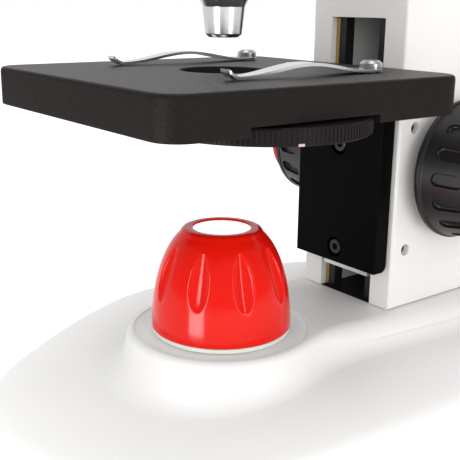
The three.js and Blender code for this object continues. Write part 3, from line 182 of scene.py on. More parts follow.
@dataclass(frozen=True)
class Finish(Surface):
    """An opaque finish: colour, gloss, wander of both, fine relief, and any painted top sheen.

    Colours are linear; grain_size and grain_height are in millimetres.
    """

    name: str
    colour: Colour
    roughness: float
    metallic: float = 0.0
    coat: float = 0.0
    specular: float = 0.5
    # A specular level for faces that look up only: a painted sheen on the top faces.
    painted_top_sheen: float | None = None
    wander: float = 0.05
    wander_size: float = 14.0
    grain: Grain = Grain.FINE
    grain_size: float = 0.5
    grain_height: float = 0.01
    glow: float = 0.0

    def material(self) -> bpy.types.Material:
        """Builds the material with its colour in plain views too."""
        made = super().material()
        made.diffuse_color = (*self.colour, 1.0)
        return made

    def shader(self, sketch: Sketch, place: Socket) -> Socket:
        """Draws an opaque shader that wanders a little in colour and gloss."""
        shader = sketch.node(
            "ShaderNodeBsdfPrincipled", Metallic=self.metallic,
            Specular_IOR_Level=self.sheen(sketch), Coat_Weight=self.coat, Coat_Roughness=0.08,
            Base_Color=self.tinted(sketch, place), Roughness=self.varied_roughness(sketch, place),
            Normal=self.relief(sketch, place),
        )
        if self.glow:
            sketch.feed(shader.inputs["Emission Color"], (1.0, 0.99, 0.97, 1.0))
            sketch.feed(shader.inputs["Emission Strength"], self.glow)
        return shader.outputs[0]

    def sheen(self, sketch: Sketch) -> Socket | float:
        """Draws the specular level, with a painted sheen on the faces that look up where
        painted_top_sheen is given.
        """
        if self.painted_top_sheen is None:
            return self.specular
        facing = sketch.node("ShaderNodeNewGeometry").outputs["True Normal"]
        return sketch.node(
            "ShaderNodeMapRange",
            Value=sketch.node("ShaderNodeSeparateXYZ", Vector=facing).outputs["Z"], From_Min=0.8,
            To_Min=self.specular, To_Max=self.painted_top_sheen,
        ).outputs[0]

    def noise(self, sketch: Sketch, place: Socket, size: float, detail: float = 3.0) -> Socket:
        """Draws noise whose features are about size millimetres across."""
        made = sketch.node(
            "ShaderNodeTexNoise", Vector=place, Scale=1.0 / (size * MM), Detail=detail
        )
        return made.outputs[0]

    def tinted(self, sketch: Sketch, place: Socket) -> Socket:
        """Draws the colour, which wanders a little over the surface."""
        low = tuple(c * (1 - self.wander) for c in self.colour)
        high = tuple(min(1.0, c * (1 + self.wander)) for c in self.colour)
        mix = sketch.node(
            "ShaderNodeMix", {"data_type": "RGBA"}, i0=self.noise(sketch, place, self.wander_size),
            i6=(*low, 1.0), i7=(*high, 1.0),
        )
        return mix.outputs[2]

    def varied_roughness(self, sketch: Sketch, place: Socket) -> Socket:
        """Draws a roughness that wanders by about an eighth, as handled surfaces do."""
        return sketch.node(
            "ShaderNodeMapRange", Value=self.noise(sketch, place, self.wander_size / 3, 5.0),
            To_Min=self.roughness * 0.88, To_Max=min(1.0, self.roughness * 1.12),
        ).outputs[0]

    def relief(self, sketch: Sketch, place: Socket) -> Socket:
        """Draws the normal with the grain's fine relief."""
        height = {
            Grain.FINE: self.fine, Grain.CRINKLE: self.crinkle, Grain.BRUSHED_Z: self.brushed,
            Grain.TURNED: self.turned, Grain.ORANGE_PEEL: self.fine,
        }[self.grain](sketch, place)
        return sketch.node(
            "ShaderNodeBump", Strength=1.0, Distance=self.grain_height * MM, Height=height
        ).outputs[0]

    def fine(self, sketch: Sketch, place: Socket) -> Socket:
        """Draws even, fine grain."""
        return self.noise(sketch, place, self.grain_size, 2.0)

    def crinkle(self, sketch: Sketch, place: Socket) -> Socket:
        """Draws leathery pebbles with creases between them."""
        cells = sketch.node(
            "ShaderNodeTexVoronoi", {"feature": "SMOOTH_F1"}, Vector=place,
            Scale=1.0 / (self.grain_size * MM), Smoothness=0.6,
        ).outputs[0]
        fine = self.noise(sketch, place, self.grain_size / 2, 4.0)
        return sketch.math("ADD", cells, sketch.math("MULTIPLY", fine, 0.5))

    def brushed(self, sketch: Sketch, place: Socket) -> Socket:
        """Draws brush lines that run up the piece."""
        drawn = sketch.node("ShaderNodeMapping", Vector=place, Scale=(1.0, 1.0, 0.04))
        return self.noise(sketch, drawn.outputs[0], self.grain_size, 2.0)

    def turned(self, sketch: Sketch, place: Socket) -> Socket:
        """Draws short tool marks, finer up the piece than round it."""
        drawn = sketch.node("ShaderNodeMapping", Vector=place, Scale=(0.12, 0.12, 1.0))
        return self.noise(sketch, drawn.outputs[0], self.grain_size, 2.0)


@dataclass(frozen=True)
class Glass(Surface):
    """Clear coated glass with a faint tint and polish marks."""

    name: str
    colour: Colour
    roughness: float = 0.02

    def shader(self, sketch: Sketch, place: Socket) -> Socket:
        """Draws a clear shader whose polish varies finely."""
        speck = sketch.node("ShaderNodeTexNoise", Vector=place, Scale=2500.0, Detail=4.0)
        polish = sketch.node(
            "ShaderNodeMapRange", Value=speck.outputs[0], To_Min=self.roughness * 0.6,
            To_Max=self.roughness * 1.6,
        )
        shader = sketch.node(
            "ShaderNodeBsdfPrincipled", Base_Color=(*self.colour, 1.0), Roughness=polish.outputs[0],
            Transmission_Weight=1.0, IOR=1.52, Coat_Weight=0.6, Coat_Tint=(0.72, 0.66, 1.0, 1.0),
        )
        return shader.outputs[0]


class Look(Enum):
    """The microscope's finishes by name: each holds the record's slot and the finish."""

    BASE_GLOSS = (
        "base_gloss",
        Finish(
            "white_moulding", (0.90, 0.892, 0.88), 0.36, specular=0.2, wander=0.012, wander_size=40,
            grain=Grain.ORANGE_PEEL, grain_size=2.2, grain_height=0.004,
        ),
    )
    ARM_PAINT = (
        "arm_paint", Finish("arm_enamel", (0.89, 0.87, 0.845), 0.42, wander=0.015, grain_size=0.7)
    )
    RED_GLOSS = (
        "red_gloss",
        Finish(
            "red_moulding", (0.85, 0.010, 0.004), 0.12, specular=0.24, wander=0.05, wander_size=18,
            grain_size=0.35, grain_height=0.012,
        ),
    )
    COLLAR_CREAM = ("collar_cream", Finish("cream_collar", (0.84, 0.86, 0.78), 0.45, wander=0.03))
    # The stage's upward faces get a painted sheen: a far higher specular level than its sides.
    STAGE_CRINKLE = (
        "stage_crinkle",
        Finish(
            "crinkle_enamel", (0.0165, 0.0130, 0.0118), 0.52, specular=0.05, painted_top_sheen=1.0,
            wander=0.14, wander_size=6, grain=Grain.CRINKLE, grain_size=0.62, grain_height=0.10,
        ),
    )
    BRACKET_BLACK = (
        "bracket_black",
        Finish(
            "black_anodising", (0.0028, 0.0026, 0.0026), 0.45, specular=0.03, wander=0.1,
            grain_size=0.3,
        ),
    )
    DISC_BLACK = (
        "disc_black",
        Finish(
            "disc_moulding", (0.017, 0.013, 0.015), 0.36, specular=0.06, wander=0.1, grain_size=0.4
        ),
    )
    SATIN_BLACK = (
        "satin_black",
        Finish(
            "satin_black_moulding", (0.012, 0.0105, 0.0105), 0.36, specular=0.35, wander=0.12,
            grain_size=0.35, grain_height=0.008,
        ),
    )
    BLACK_PLASTIC = (
        "black_plastic",
        Finish(
            "textured_black_plastic", (0.025, 0.025, 0.026), 0.55, wander=0.12, grain=Grain.CRINKLE,
            grain_size=0.8, grain_height=0.03,
        ),
    )
    FOOT_RUBBER = (
        "foot_rubber",
        Finish("dark_rubber", (0.022, 0.022, 0.023), 0.85, wander=0.2, grain_height=0.02),
    )
    STEEL = (
        "steel",
        Finish("turned_steel", (0.60, 0.61, 0.62), 0.28, 1.0, grain=Grain.TURNED, grain_size=0.2),
    )
    BLACK_STEEL = (
        "black_steel", Finish("blackened_steel", (0.035, 0.034, 0.034), 0.36, 0.6, grain_size=0.3)
    )
    CLIP_STEEL = (
        "clip_steel",
        Finish("spring_steel", (0.72, 0.73, 0.74), 0.16, 1.0, wander=0.03, grain_size=0.25),
    )
    SLIDE_ALUMINIUM = (
        "slide_aluminium",
        Finish(
            "milled_aluminium", (0.80, 0.80, 0.81), 0.36, 1.0, grain=Grain.BRUSHED_Z,
            grain_size=0.25,
        ),
    )
    OBJECTIVE_CHROME = (
        "objective_chrome",
        Finish("satin_chrome", (0.66, 0.67, 0.68), 0.22, 1.0, grain=Grain.TURNED, grain_size=0.15),
    )
    BRASS = (
        "brass",
        Finish(
            "plain_brass", (0.55, 0.37, 0.13), 0.34, 1.0, wander=0.1, grain=Grain.BRUSHED_Z,
            grain_size=0.25,
        ),
    )
    FROSTED_LENS = (
        "frosted_lens", Finish("frosted_diffuser", (0.9, 0.9, 0.89), 0.5, grain_size=0.4, glow=0.9)
    )
    CELL_JACKET = (
        "cell_jacket", Finish("plain_jacket", (0.10, 0.13, 0.17), 0.3, coat=0.4, wander=0.1)
    )
    BOARD_GREEN = (
        "board_green",
        Finish("circuit_board", (0.02, 0.13, 0.05), 0.4, coat=0.3, wander=0.35, wander_size=1.5),
    )
    BAND_RED = (None, Finish("red_band", (0.62, 0.02, 0.015), 0.3, coat=0.2))
    BAND_YELLOW = (None, Finish("yellow_band", (0.80, 0.55, 0.03), 0.3, coat=0.2))
    BAND_BLUE = (None, Finish("blue_band", (0.03, 0.22, 0.62), 0.3, coat=0.2))
    PALE_MARK = (None, Finish("pale_mark", (0.62, 0.45, 0.43), 0.5, wander=0.04))
    CLEAR_GLASS = ("clear_glass", Glass("coated_glass", (0.93, 0.96, 0.98)))

    @property
    def slot(self) -> str | None:
        """The record's material slot, where the record has one."""
        return self.value[0]

    @property
    def finish(self) -> Surface:
        """The finish that builds the material."""
        return self.value[1]


# ---- outlines


def rounded(points: Corners, closed: bool = True) -> list[Point2]:
    """Rounds the corners of a path.

    Args:
        points: corners as (a, b) or (a, b, radius).
        closed: whether the path returns to its first point.

    Returns:
        The path with an arc at each corner that has a radius.
    """
    path: list[Point2] = []
    count = len(points)
    for i, corner in enumerate(points):
        here = Vector(corner[:2])
        radius = corner[2] if len(corner) > 2 else 0.0
        if radius <= 0 or (not closed and i in (0, count - 1)):
            path.append((here.x, here.y))
            continue
        before = Vector(points[i - 1][:2]) - here
        after = Vector(points[(i + 1) % count][:2]) - here
        half = before.angle(after) / 2
        reach = min(radius / math.tan(half), before.length * 0.499, after.length * 0.499)
        radius = reach * math.tan(half)
        centre = here + (before.normalized() + after.normalized()).normalized() * (
            radius / math.sin(half)
        )
        start = here + before.normalized() * reach - centre
        end = here + after.normalized() * reach - centre
        sweep = math.atan2(start.x * end.y - start.y * end.x, start.dot(end))
        steps = max(2, math.ceil(abs(math.degrees(sweep)) / 15))
        for k in range(steps + 1):
            angle = sweep * k / steps
            c, s = math.cos(angle), math.sin(angle)
            path.append(
                (centre.x + start.x * c - start.y * s, centre.y + start.x * s + start.y * c)
            )
    return path


def rectangle(a0: float, a1: float, b0: float, b1: float, radius: float = 0.0) -> list[Point2]:
    """Draws a rectangle with rounded corners."""
    return rounded([(a0, b0, radius), (a1, b0, radius), (a1, b1, radius), (a0, b1, radius)])


def hexagon(radius: float) -> list[Point2]:
    """Draws a hexagon with a corner on the first axis."""
    angles = np.arange(6) * math.pi / 3
    return [(radius * math.cos(a), radius * math.sin(a)) for a in angles]


def bezier(p0: Point2, p1: Point2, p2: Point2, p3: Point2, steps: int = 28) -> list[Point2]:
    """Samples a cubic Bezier curve from p0 to p3, without its last point."""
    path = []
    for k in range(steps):
        t = k / steps
        weights = ((1 - t) ** 3, 3 * t * (1 - t) ** 2, 3 * t * t * (1 - t), t**3)
        corners = (p0, p1, p2, p3)
        path.append(
            (
                sum(w * p[0] for w, p in zip(weights, corners)),
                sum(w * p[1] for w, p in zip(weights, corners)),
            )
        )
    return path


def area_of(path: np.ndarray) -> float:
    """Returns the signed area inside a closed path."""
    following = np.roll(path, -1, axis=0)
    return float(np.sum(path[:, 0] * following[:, 1] - following[:, 0] * path[:, 1]) / 2)


def normals_of(path: np.ndarray) -> np.ndarray:
    """Returns the outward mitred normals of a closed anticlockwise path."""
    edges = np.roll(path, -1, axis=0) - path
    edges /= np.maximum(np.linalg.norm(edges, axis=1, keepdims=True), 1e-9)
    outward = np.stack([edges[:, 1], -edges[:, 0]], axis=1)
    mitred = outward + np.roll(outward, 1, axis=0)
    squared = np.maximum(np.sum(mitred * mitred, axis=1, keepdims=True), 0.3)
    return mitred * 2 / squared


def distance_to(path: np.ndarray, points: np.ndarray) -> np.ndarray:
    """Returns each point's distance to a closed path."""
    start, step = path, np.roll(path, -1, axis=0) - path
    length = np.maximum(np.sum(step * step, axis=1), 1e-12)
    nearest = np.full(len(points), np.inf)
    for a, d, size in zip(start, step, length):
        t = np.clip(((points - a) @ d) / size, 0, 1)
        gap = points - a - t[:, None] * d
        nearest = np.minimum(nearest, np.sum(gap * gap, axis=1))
    return np.sqrt(nearest)


def smoothstep(value: np.ndarray | float, low: float, high: float) -> np.ndarray | float:
    """Rises smoothly from 0 at low to 1 at high."""
    t = np.clip((np.asarray(value, float) - low) / (high - low), 0, 1)
    return t * t * (3 - 2 * t)


# ---- shapes


def linked(name: str, data: bpy.types.ID) -> bpy.types.Object:
    """Makes an object and links it to the scene."""
    made = bpy.data.objects.new(name, data)
    bpy.context.scene.collection.objects.link(made)
    return made


def discard(made: bpy.types.Object) -> None:
    """Removes an object and its mesh."""
    mesh = made.data
    bpy.data.objects.remove(made)
    bpy.data.meshes.remove(mesh)


def lifted(flat: np.ndarray, height: np.ndarray | float) -> np.ndarray:
    """Returns points in plan with their height, or heights, added."""
    return np.column_stack([flat, np.full(len(flat), height)])


def along_x(side: float = 1.0) -> Matrix:
    """Returns the turn that lays a piece made about Z along X, pointing to one side."""
    return Matrix.Rotation(side * math.pi / 2, 4, "Y")


def at(x: float, y: float, z: float) -> Matrix:
    """Returns a shift to a place in millimetres."""
    return Matrix.Translation((x, y, z))


@dataclass
class Shape:
    """A closed body: its points in millimetres and its faces."""

    points: np.ndarray
    faces: list[tuple[int, ...]]

    @classmethod
    def turned(cls, profile: Corners, segments: int = 96) -> Shape:
        """Revolves a closed profile about Z.

        Args:
            profile: corners as (radius, height) or (radius, height, rounding).
            segments: facets round the piece.

        Returns:
            The turned body.
        """
        path = rounded(profile)
        angles = np.arange(segments) * 2 * math.pi / segments
        rings = [
            np.stack([r * np.cos(angles), r * np.sin(angles), np.full(segments, z)], axis=1)
            for r, z in path
        ]
        return cls.skinned(rings, looped=True)

    @classmethod
    def rod(cls, radius: float, low: float, high: float, segments: int = 96) -> Shape:
        """Makes a plain round bar about Z."""
        return cls.turned([(0, low), (radius, low), (radius, high), (0, high)], segments)

    @classmethod
    def skinned(cls, rings: Sequence[np.ndarray], looped: bool = False) -> Shape:
        """Skins rings of equal length.

        Args:
            rings: the rings, in order.
            looped: whether the last ring joins the first; otherwise both ends are closed.

        Returns:
            The skinned body.
        """
        count, size = len(rings), len(rings[0])
        faces: list[tuple[int, ...]] = []
        for k in range(count if looped else count - 1):
            low, high = k * size, ((k + 1) % count) * size
            for i in range(size):
                j = (i + 1) % size
                faces.append((low + i, low + j, high + j, high + i))
        if not looped:
            faces.append(tuple(reversed(range(size))))
            faces.append(tuple(range((count - 1) * size, count * size)))
        return cls(np.concatenate(rings), faces)

    @classmethod
    def slab(
        cls, outline: Corners, low: float, high: float, low_edge: float = 0.0,
        high_edge: float = 0.0, steps: int = 4,
    ) -> Shape:
        """Raises an outline along Z, with rounded edges at both ends.

        Args:
            outline: corners as (x, y) or (x, y, rounding).
            low: lower face.
            high: upper face.
            low_edge: rounding of the lower face's edge.
            high_edge: rounding of the upper face's edge.
            steps: facets across each rounded edge; 1 makes a chamfer.

        Returns:
            The slab.
        """
        path = np.array(rounded(outline))
        if area_of(path) < 0:
            path = path[::-1]
        outward = normals_of(path)
        rings = []
        for radius, level, way in ((low_edge, low, 1), (high_edge, high, -1)):
            turns = [k / steps * math.pi / 2 for k in range(steps + 1)] if radius else [0.0]
            if way < 0:
                turns = turns[::-1]
            for turn in turns:
                inset = radius * (1 - math.sin(turn)) if radius else 0.0
                height = level + way * radius * (1 - math.cos(turn))
                flat = path - outward * inset
                rings.append(lifted(flat, height))
        return cls.skinned(rings)

    @classmethod
    def side_slab(
        cls, outline: Corners, half_width: float, edge: float = 0.0, steps: int = 4
    ) -> Shape:
        """Raises an outline drawn in the Y-Z plane along X, both ways."""
        made = cls.slab(outline, -half_width, half_width, edge, edge, steps)
        made.points = made.points[:, [2, 0, 1]]
        return made

    @classmethod
    def box(
        cls, low: Sequence[float], high: Sequence[float], edge: float = 0.0, corner: float = 0.0
    ) -> Shape:
        """Makes a box between two corners, with broken edges."""
        outline = rectangle(low[0], high[0], low[1], high[1], corner)
        return cls.slab(outline, low[2], high[2], edge, edge, 2)

    @classmethod
    def from_mesh(cls, mesh: bpy.types.Mesh) -> Shape:
        """Takes a shape from a mesh in millimetres, and removes the mesh."""
        points = np.zeros(len(mesh.vertices) * 3)
        mesh.vertices.foreach_get("co", points)
        faces = [tuple(p.vertices) for p in mesh.polygons]
        bpy.data.meshes.remove(mesh)
        return cls(points.reshape(-1, 3), faces)

    def placed(self, *moves: Matrix) -> Shape:
        """Returns a copy moved by each matrix in turn."""
        points = self.points
        for move in moves:
            matrix = np.array(move)
            points = points @ matrix[:3, :3].T + matrix[:3, 3]
        return Shape(points, list(self.faces))

    def with_parts(self, *others: Shape) -> Shape:
        """Returns one shape that holds this one and separate others."""
        points, faces = [self.points], list(self.faces)
        start = len(self.points)
        for other in others:
            faces += [tuple(start + i for i in face) for face in other.faces]
            points.append(other.points)
            start += len(other.points)
        return Shape(np.concatenate(points), faces)

    def as_mesh(self, name: str, scale: float = 1.0) -> bpy.types.Mesh:
        """Makes a welded mesh whose faces point outwards.

        Args:
            name: the mesh's name.
            scale: what the points are multiplied by.

        Returns:
            The mesh.
        """
        mesh = bpy.data.meshes.new(name)
        mesh.from_pydata((self.points * scale).tolist(), [], self.faces)
        body = bmesh.new()
        body.from_mesh(mesh)
        bmesh.ops.remove_doubles(body, verts=body.verts, dist=1e-4 * scale)
        bmesh.ops.dissolve_degenerate(body, edges=body.edges, dist=1e-5 * scale)
        bmesh.ops.recalc_face_normals(body, faces=body.faces)
        body.to_mesh(mesh)
        body.free()
        return mesh

    def worked(self, prepare: Callable[[bpy.types.Object], None]) -> Shape:
        """Runs modifiers on the shape.

        Args:
            prepare: adds the modifiers to a stand-in object.

        Returns:
            The shape that the modifiers give.
        """
        stand_in = linked("stand_in", self.as_mesh("stand_in"))
        prepare(stand_in)
        graph = bpy.context.evaluated_depsgraph_get()
        result = bpy.data.meshes.new_from_object(stand_in.evaluated_get(graph))
        discard(stand_in)
        return Shape.from_mesh(result)

    def combined(self, operation: str, tools: Iterable[Shape]) -> Shape:
        """Joins the shape with others, cuts them away, or keeps what they share.

        Args:
            operation: UNION, DIFFERENCE or INTERSECT.
            tools: the other shapes.

        Returns:
            The combined shape.
        """
        objects = []
        for tool in tools:
            made = linked("tool", tool.as_mesh("tool"))
            objects.append(made)

        def prepare(stand_in: bpy.types.Object) -> None:
            """Adds one Boolean modifier for each tool."""
            for tool in objects:
                cut = stand_in.modifiers.new("cut", "BOOLEAN")
                cut.operation = operation
                cut.solver = "MANIFOLD"
                cut.object = tool

        result = self.worked(prepare)
        for made in objects:
            discard(made)
        return result

    def minus(self, *tools: Shape) -> Shape:
        """Returns the shape with the tools cut away."""
        return self.combined("DIFFERENCE", tools)

    def plus(self, *others: Shape) -> Shape:
        """Returns the shape joined with others that it meets."""
        return self.combined("UNION", others)


# ---- geometry nodes


class Recipe:
    """A Geometry Nodes tree whose sizes are named inputs."""

    def __init__(self, name: str) -> None:
        """Starts a tree with a geometry input.

        Args:
            name: the tree's name.
        """
        self.tree = bpy.data.node_groups.new(name, "GeometryNodeTree")
        self.sketch = Sketch(self.tree)
        self.sockets: dict[str, str] = {}
        self.entry = self.tree.nodes.new("NodeGroupInput")
        self.given("Geometry", "NodeSocketGeometry")

    def given(self, name: str, kind: str = "NodeSocketFloat") -> Socket:
        """Adds a named input and returns its socket."""
        made = self.tree.interface.new_socket(name=name, in_out="INPUT", socket_type=kind)
        self.sockets[name] = made.identifier
        return self.entry.outputs[name]

    def ends_with(self, geometry: Socket) -> None:
        """Closes the tree: real geometry with the piece's material."""
        material = self.given("Material", "NodeSocketMaterial")
        self.tree.interface.new_socket(
            name="Geometry", in_out="OUTPUT", socket_type="NodeSocketGeometry"
        )
        real = self.sketch.node("GeometryNodeRealizeInstances", Geometry=geometry)
        dressed = self.sketch.node(
            "GeometryNodeSetMaterial", Geometry=real.outputs[0], Material=material
        )
        self.sketch.node("NodeGroupOutput", Geometry=dressed.outputs[0])

    def run(self, shape: Shape, finish: Look, **sizes: object) -> Shape:
        """Runs the tree on a shape.

        Args:
            shape: what enters the tree.
            finish: the finish whose material the tree sets.
            **sizes: the named inputs, with _ for a space.

        Returns:
            The tree's result.
        """
        values = {name.replace("_", " "): value for name, value in sizes.items()}
        values["Material"] = finish.finish.material()

        def prepare(stand_in: bpy.types.Object) -> None:
            """Adds the tree and sets its inputs by their identifiers."""
            modifier = stand_in.modifiers.new(self.tree.name, "NODES")
            modifier.node_group = self.tree
            for name, value in values.items():
                modifier[self.sockets[name]] = value

        return shape.worked(prepare)


def ring_recipe() -> Recipe:
    """Draws the tree that repeats a master shape round the Z axis.

    Returns:
        The recipe, with inputs Count, Radius, Start Angle and Height.
    """
    recipe = Recipe("repeat_round_ring")
    sketch = recipe.sketch
    count = recipe.given("Count", "NodeSocketInt")
    radius = recipe.given("Radius")
    start = recipe.given("Start Angle")
    height = recipe.given("Height")
    circle = sketch.node("GeometryNodeMeshCircle", Vertices=count, Radius=radius)
    index = sketch.node("GeometryNodeInputIndex").outputs[0]
    turn = sketch.math("DIVIDE", sketch.math("MULTIPLY", index, 2 * math.pi), count)
    rotation = sketch.node("ShaderNodeCombineXYZ", Z=turn).outputs[0]
    copies = sketch.node(
        "GeometryNodeInstanceOnPoints", Points=circle.outputs[0],
        Instance=recipe.entry.outputs["Geometry"], Rotation=rotation,
    )
    moved = sketch.node(
        "GeometryNodeTransform", Geometry=copies.outputs[0],
        Translation=sketch.node("ShaderNodeCombineXYZ", Z=height).outputs[0],
        Rotation=sketch.node("ShaderNodeCombineXYZ", Z=start).outputs[0],
    )
    recipe.ends_with(moved.outputs[0])
    return recipe


def places_recipe() -> Recipe:
    """Draws the tree that repeats a master shape at the points of a second object.

    Returns:
        The recipe, with the input Places.
    """
    recipe = Recipe("repeat_at_places")
    sketch = recipe.sketch
    places = recipe.given("Places", "NodeSocketObject")
    info = sketch.node("GeometryNodeObjectInfo", Object=places)
    points = sketch.node("GeometryNodeMeshToPoints", Mesh=info.outputs["Geometry"])
    copies = sketch.node(
        "GeometryNodeInstanceOnPoints", Points=points.outputs[0],
        Instance=recipe.entry.outputs["Geometry"],
    )
    recipe.ends_with(copies.outputs[0])
    return recipe


def flute_recipe() -> Recipe:
    """Draws the tree that presses lens-shaped flutes into a turned wall.

    A flute is deepest on its own middle line and has a crisp rim. It is one of Count round the
    piece, its rim is an upright ellipse, and the wall moves straight towards the axis.

    Returns:
        The recipe, with inputs Count, Phase, Middle Height, Half Height, Half Angle and Depth.
        Faces that look inwards are left as they are.
    """
    recipe = Recipe("press_flutes")
    sketch = recipe.sketch
    count = recipe.given("Count", "NodeSocketInt")
    phase = recipe.given("Phase")
    middle = recipe.given("Middle Height")
    half_height = recipe.given("Half Height")
    half_angle = recipe.given("Half Angle")
    depth = recipe.given("Depth")
    position = sketch.node("GeometryNodeInputPosition").outputs[0]
    parts = sketch.node("ShaderNodeSeparateXYZ", Vector=position)
    x, y, z = parts.outputs[0], parts.outputs[1], parts.outputs[2]
    angle = sketch.math("SUBTRACT", sketch.math("ARCTAN2", y, x), phase)
    pitch = sketch.math("DIVIDE", 2 * math.pi, count)
    half_pitch = sketch.math("DIVIDE", pitch, 2.0)
    local = sketch.math("WRAP", angle, half_pitch, sketch.math("MULTIPLY", half_pitch, -1.0))
    across = sketch.math("DIVIDE", local, half_angle)
    up = sketch.math("DIVIDE", sketch.math("SUBTRACT", z, middle), half_height)
    reach = sketch.math(
        "ADD", sketch.math("MULTIPLY", across, across), sketch.math("MULTIPLY", up, up)
    )
    hollow = sketch.math("MAXIMUM", sketch.math("SUBTRACT", 1.0, reach), 0.0)
    flat = sketch.node("ShaderNodeCombineXYZ", X=x, Y=y).outputs[0]
    away = sketch.node("ShaderNodeVectorMath", {"operation": "NORMALIZE"}, i0=flat).outputs[0]
    facing = sketch.node(
        "ShaderNodeVectorMath", {"operation": "DOT_PRODUCT"}, i0=away,
        i1=sketch.node("GeometryNodeInputNormal").outputs[0],
    ).outputs["Value"]
    outside = sketch.math("GREATER_THAN", facing, 0.1)
    press = sketch.math(
        "MULTIPLY", sketch.math("MULTIPLY", sketch.math("POWER", hollow, 0.8), depth), outside
    )
    offset = sketch.node(
        "ShaderNodeVectorMath", {"operation": "SCALE"}, i0=away,
        Scale=sketch.math("MULTIPLY", press, -1.0),
    ).outputs[0]
    pressed = sketch.node(
        "GeometryNodeSetPosition", Geometry=recipe.entry.outputs["Geometry"], Offset=offset
    )
    recipe.ends_with(pressed.outputs[0])
    return recipe


# ---- the workshop


@dataclass
class Workshop:
    """What every sub-assembly works with: the shared recipes and the way pieces are published."""

    ring: Recipe = field(default_factory=ring_recipe)
    places: Recipe = field(default_factory=places_recipe)
    flutes: Recipe = field(default_factory=flute_recipe)
    frame: dict = field(default_factory=dict)

    def ribs(
        self, count: int, radius: float, size: Sequence[float], height: float, finish: Look,
        edge: float = 0.0,
    ) -> Shape:
        """Makes a ring of upright ribs.

        Args:
            count: how many ribs.
            radius: circle on which the ribs' middles stand.
            size: a rib's radial, tangential and upright sizes.
            height: the ribs' lower end.
            finish: the ribs' finish.
            edge: rounding of a rib's outer corners.

        Returns:
            The ribs as one shape.
        """
        deep, wide, tall = size
        outline = [(-deep / 2, -wide / 2), (deep / 2, -wide / 2, edge), (deep / 2, wide / 2, edge)]
        rib = Shape.slab([*outline, (-deep / 2, wide / 2)], 0.0, tall)
        return self.ring.run(
            rib, finish, Count=count, Radius=radius, Start_Angle=0.0, Height=height
        )

    def repeated(self, master: Shape, places: Corners, finish: Look) -> Shape:
        """Repeats a master shape at each place.

        Args:
            master: the shape, made about the origin.
            places: where the copies go.
            finish: the copies' finish.

        Returns:
            The copies as one shape.
        """
        mesh = bpy.data.meshes.new("places")
        mesh.from_pydata([tuple(p) for p in places], [], [])
        marks = linked("places", mesh)
        made = self.places.run(master, finish, Places=marks)
        discard(marks)
        return made

    def publish(
        self, name: str, shape: Shape, finish: Look, body: str, replaces: Sequence[str] = (),
        crease: float = 32.0,
    ) -> bpy.types.Object:
        """Turns a shape into a finished piece that rides on a body.

        Args:
            name: the piece's name.
            shape: its shape in millimetres.
            finish: its finish.
            body: the body that it moves with.
            replaces: the CAD nodes that it stands for.
            crease: faces that meet at a sharper angle keep a crisp edge, in degrees.

        Returns:
            The piece.
        """
        mesh = shape.as_mesh(name + "_rough", MM)
        mesh.shade_smooth()
        mesh.set_sharp_from_angle(angle=math.radians(crease))
        rough = linked(name + "_rough", mesh)
        weighted = rough.modifiers.new("even_normals", "WEIGHTED_NORMAL")
        weighted.keep_sharp = True
        graph = bpy.context.evaluated_depsgraph_get()
        final = bpy.data.meshes.new_from_object(rough.evaluated_get(graph))
        final.name = name
        discard(rough)
        final.materials.clear()
        final.materials.append(finish.finish.material())
        piece = linked(name, final)
        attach(piece, body)
        if replaces:
            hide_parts(*replaces)
        LOG.info("%s: %d faces on %s", name, len(final.polygons), body)
        return piece

    def dress(self, node: str, finish: Look) -> None:
        """Gives a CAD node that stays its finish."""
        piece = self.frame["nodes"][node]
        piece.data.materials.clear()
        piece.data.materials.append(finish.finish.material())
        LOG.info("%s keeps its own mesh", node)


@dataclass(frozen=True)
class Datum:
    """Places that the sub-assemblies share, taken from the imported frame, in millimetres."""

    axis_y: float
    drive_y: float
    drive_z: float
    stage_top: float
    base_front: float
    base_back: float

    @classmethod
    def from_frame(cls) -> Datum:
        """Reads the places off the CAD nodes' boxes."""
        window = [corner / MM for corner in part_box("lamp_window")]
        shaft = [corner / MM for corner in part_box("fine_shaft")]
        stage = [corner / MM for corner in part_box("stage_plate")]
        base = [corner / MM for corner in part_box("base_shell")]
        return cls(
            axis_y=(window[0].y + window[1].y) / 2, drive_y=(shaft[0].y + shaft[1].y) / 2,
            drive_z=(shaft[0].z + shaft[1].z) / 2, stage_top=stage[1].z, base_front=base[0].y,
            base_back=base[1].y,
        )


# ---- base


def resampled(path: np.ndarray, count: int, bend_weight: float = 0.5) -> np.ndarray:
    """Spreads points along a closed path, closer together where it bends.

    Args:
        path: the path's points.
        count: how many points to return.
        bend_weight: share of the points that goes to the bends.

    Returns:
        The new points, starting at the path's first point.
    """
    steps = np.roll(path, -1, axis=0) - path
    lengths = np.linalg.norm(steps, axis=1)
    headings = np.unwrap(np.arctan2(steps[:, 1], steps[:, 0]))
    bends = np.abs(np.diff(np.append(headings, headings[0] + 2 * math.pi)))
    share = lengths / lengths.sum() + bend_weight * bends / max(bends.sum(), 1e-9)
    ends = np.concatenate([[0.0], np.cumsum(share)])
    wanted = np.arange(count) / count * ends[-1]
    closed = np.vstack([path, path[:1]])
    return np.column_stack([np.interp(wanted, ends, closed[:, k]) for k in (0, 1)])


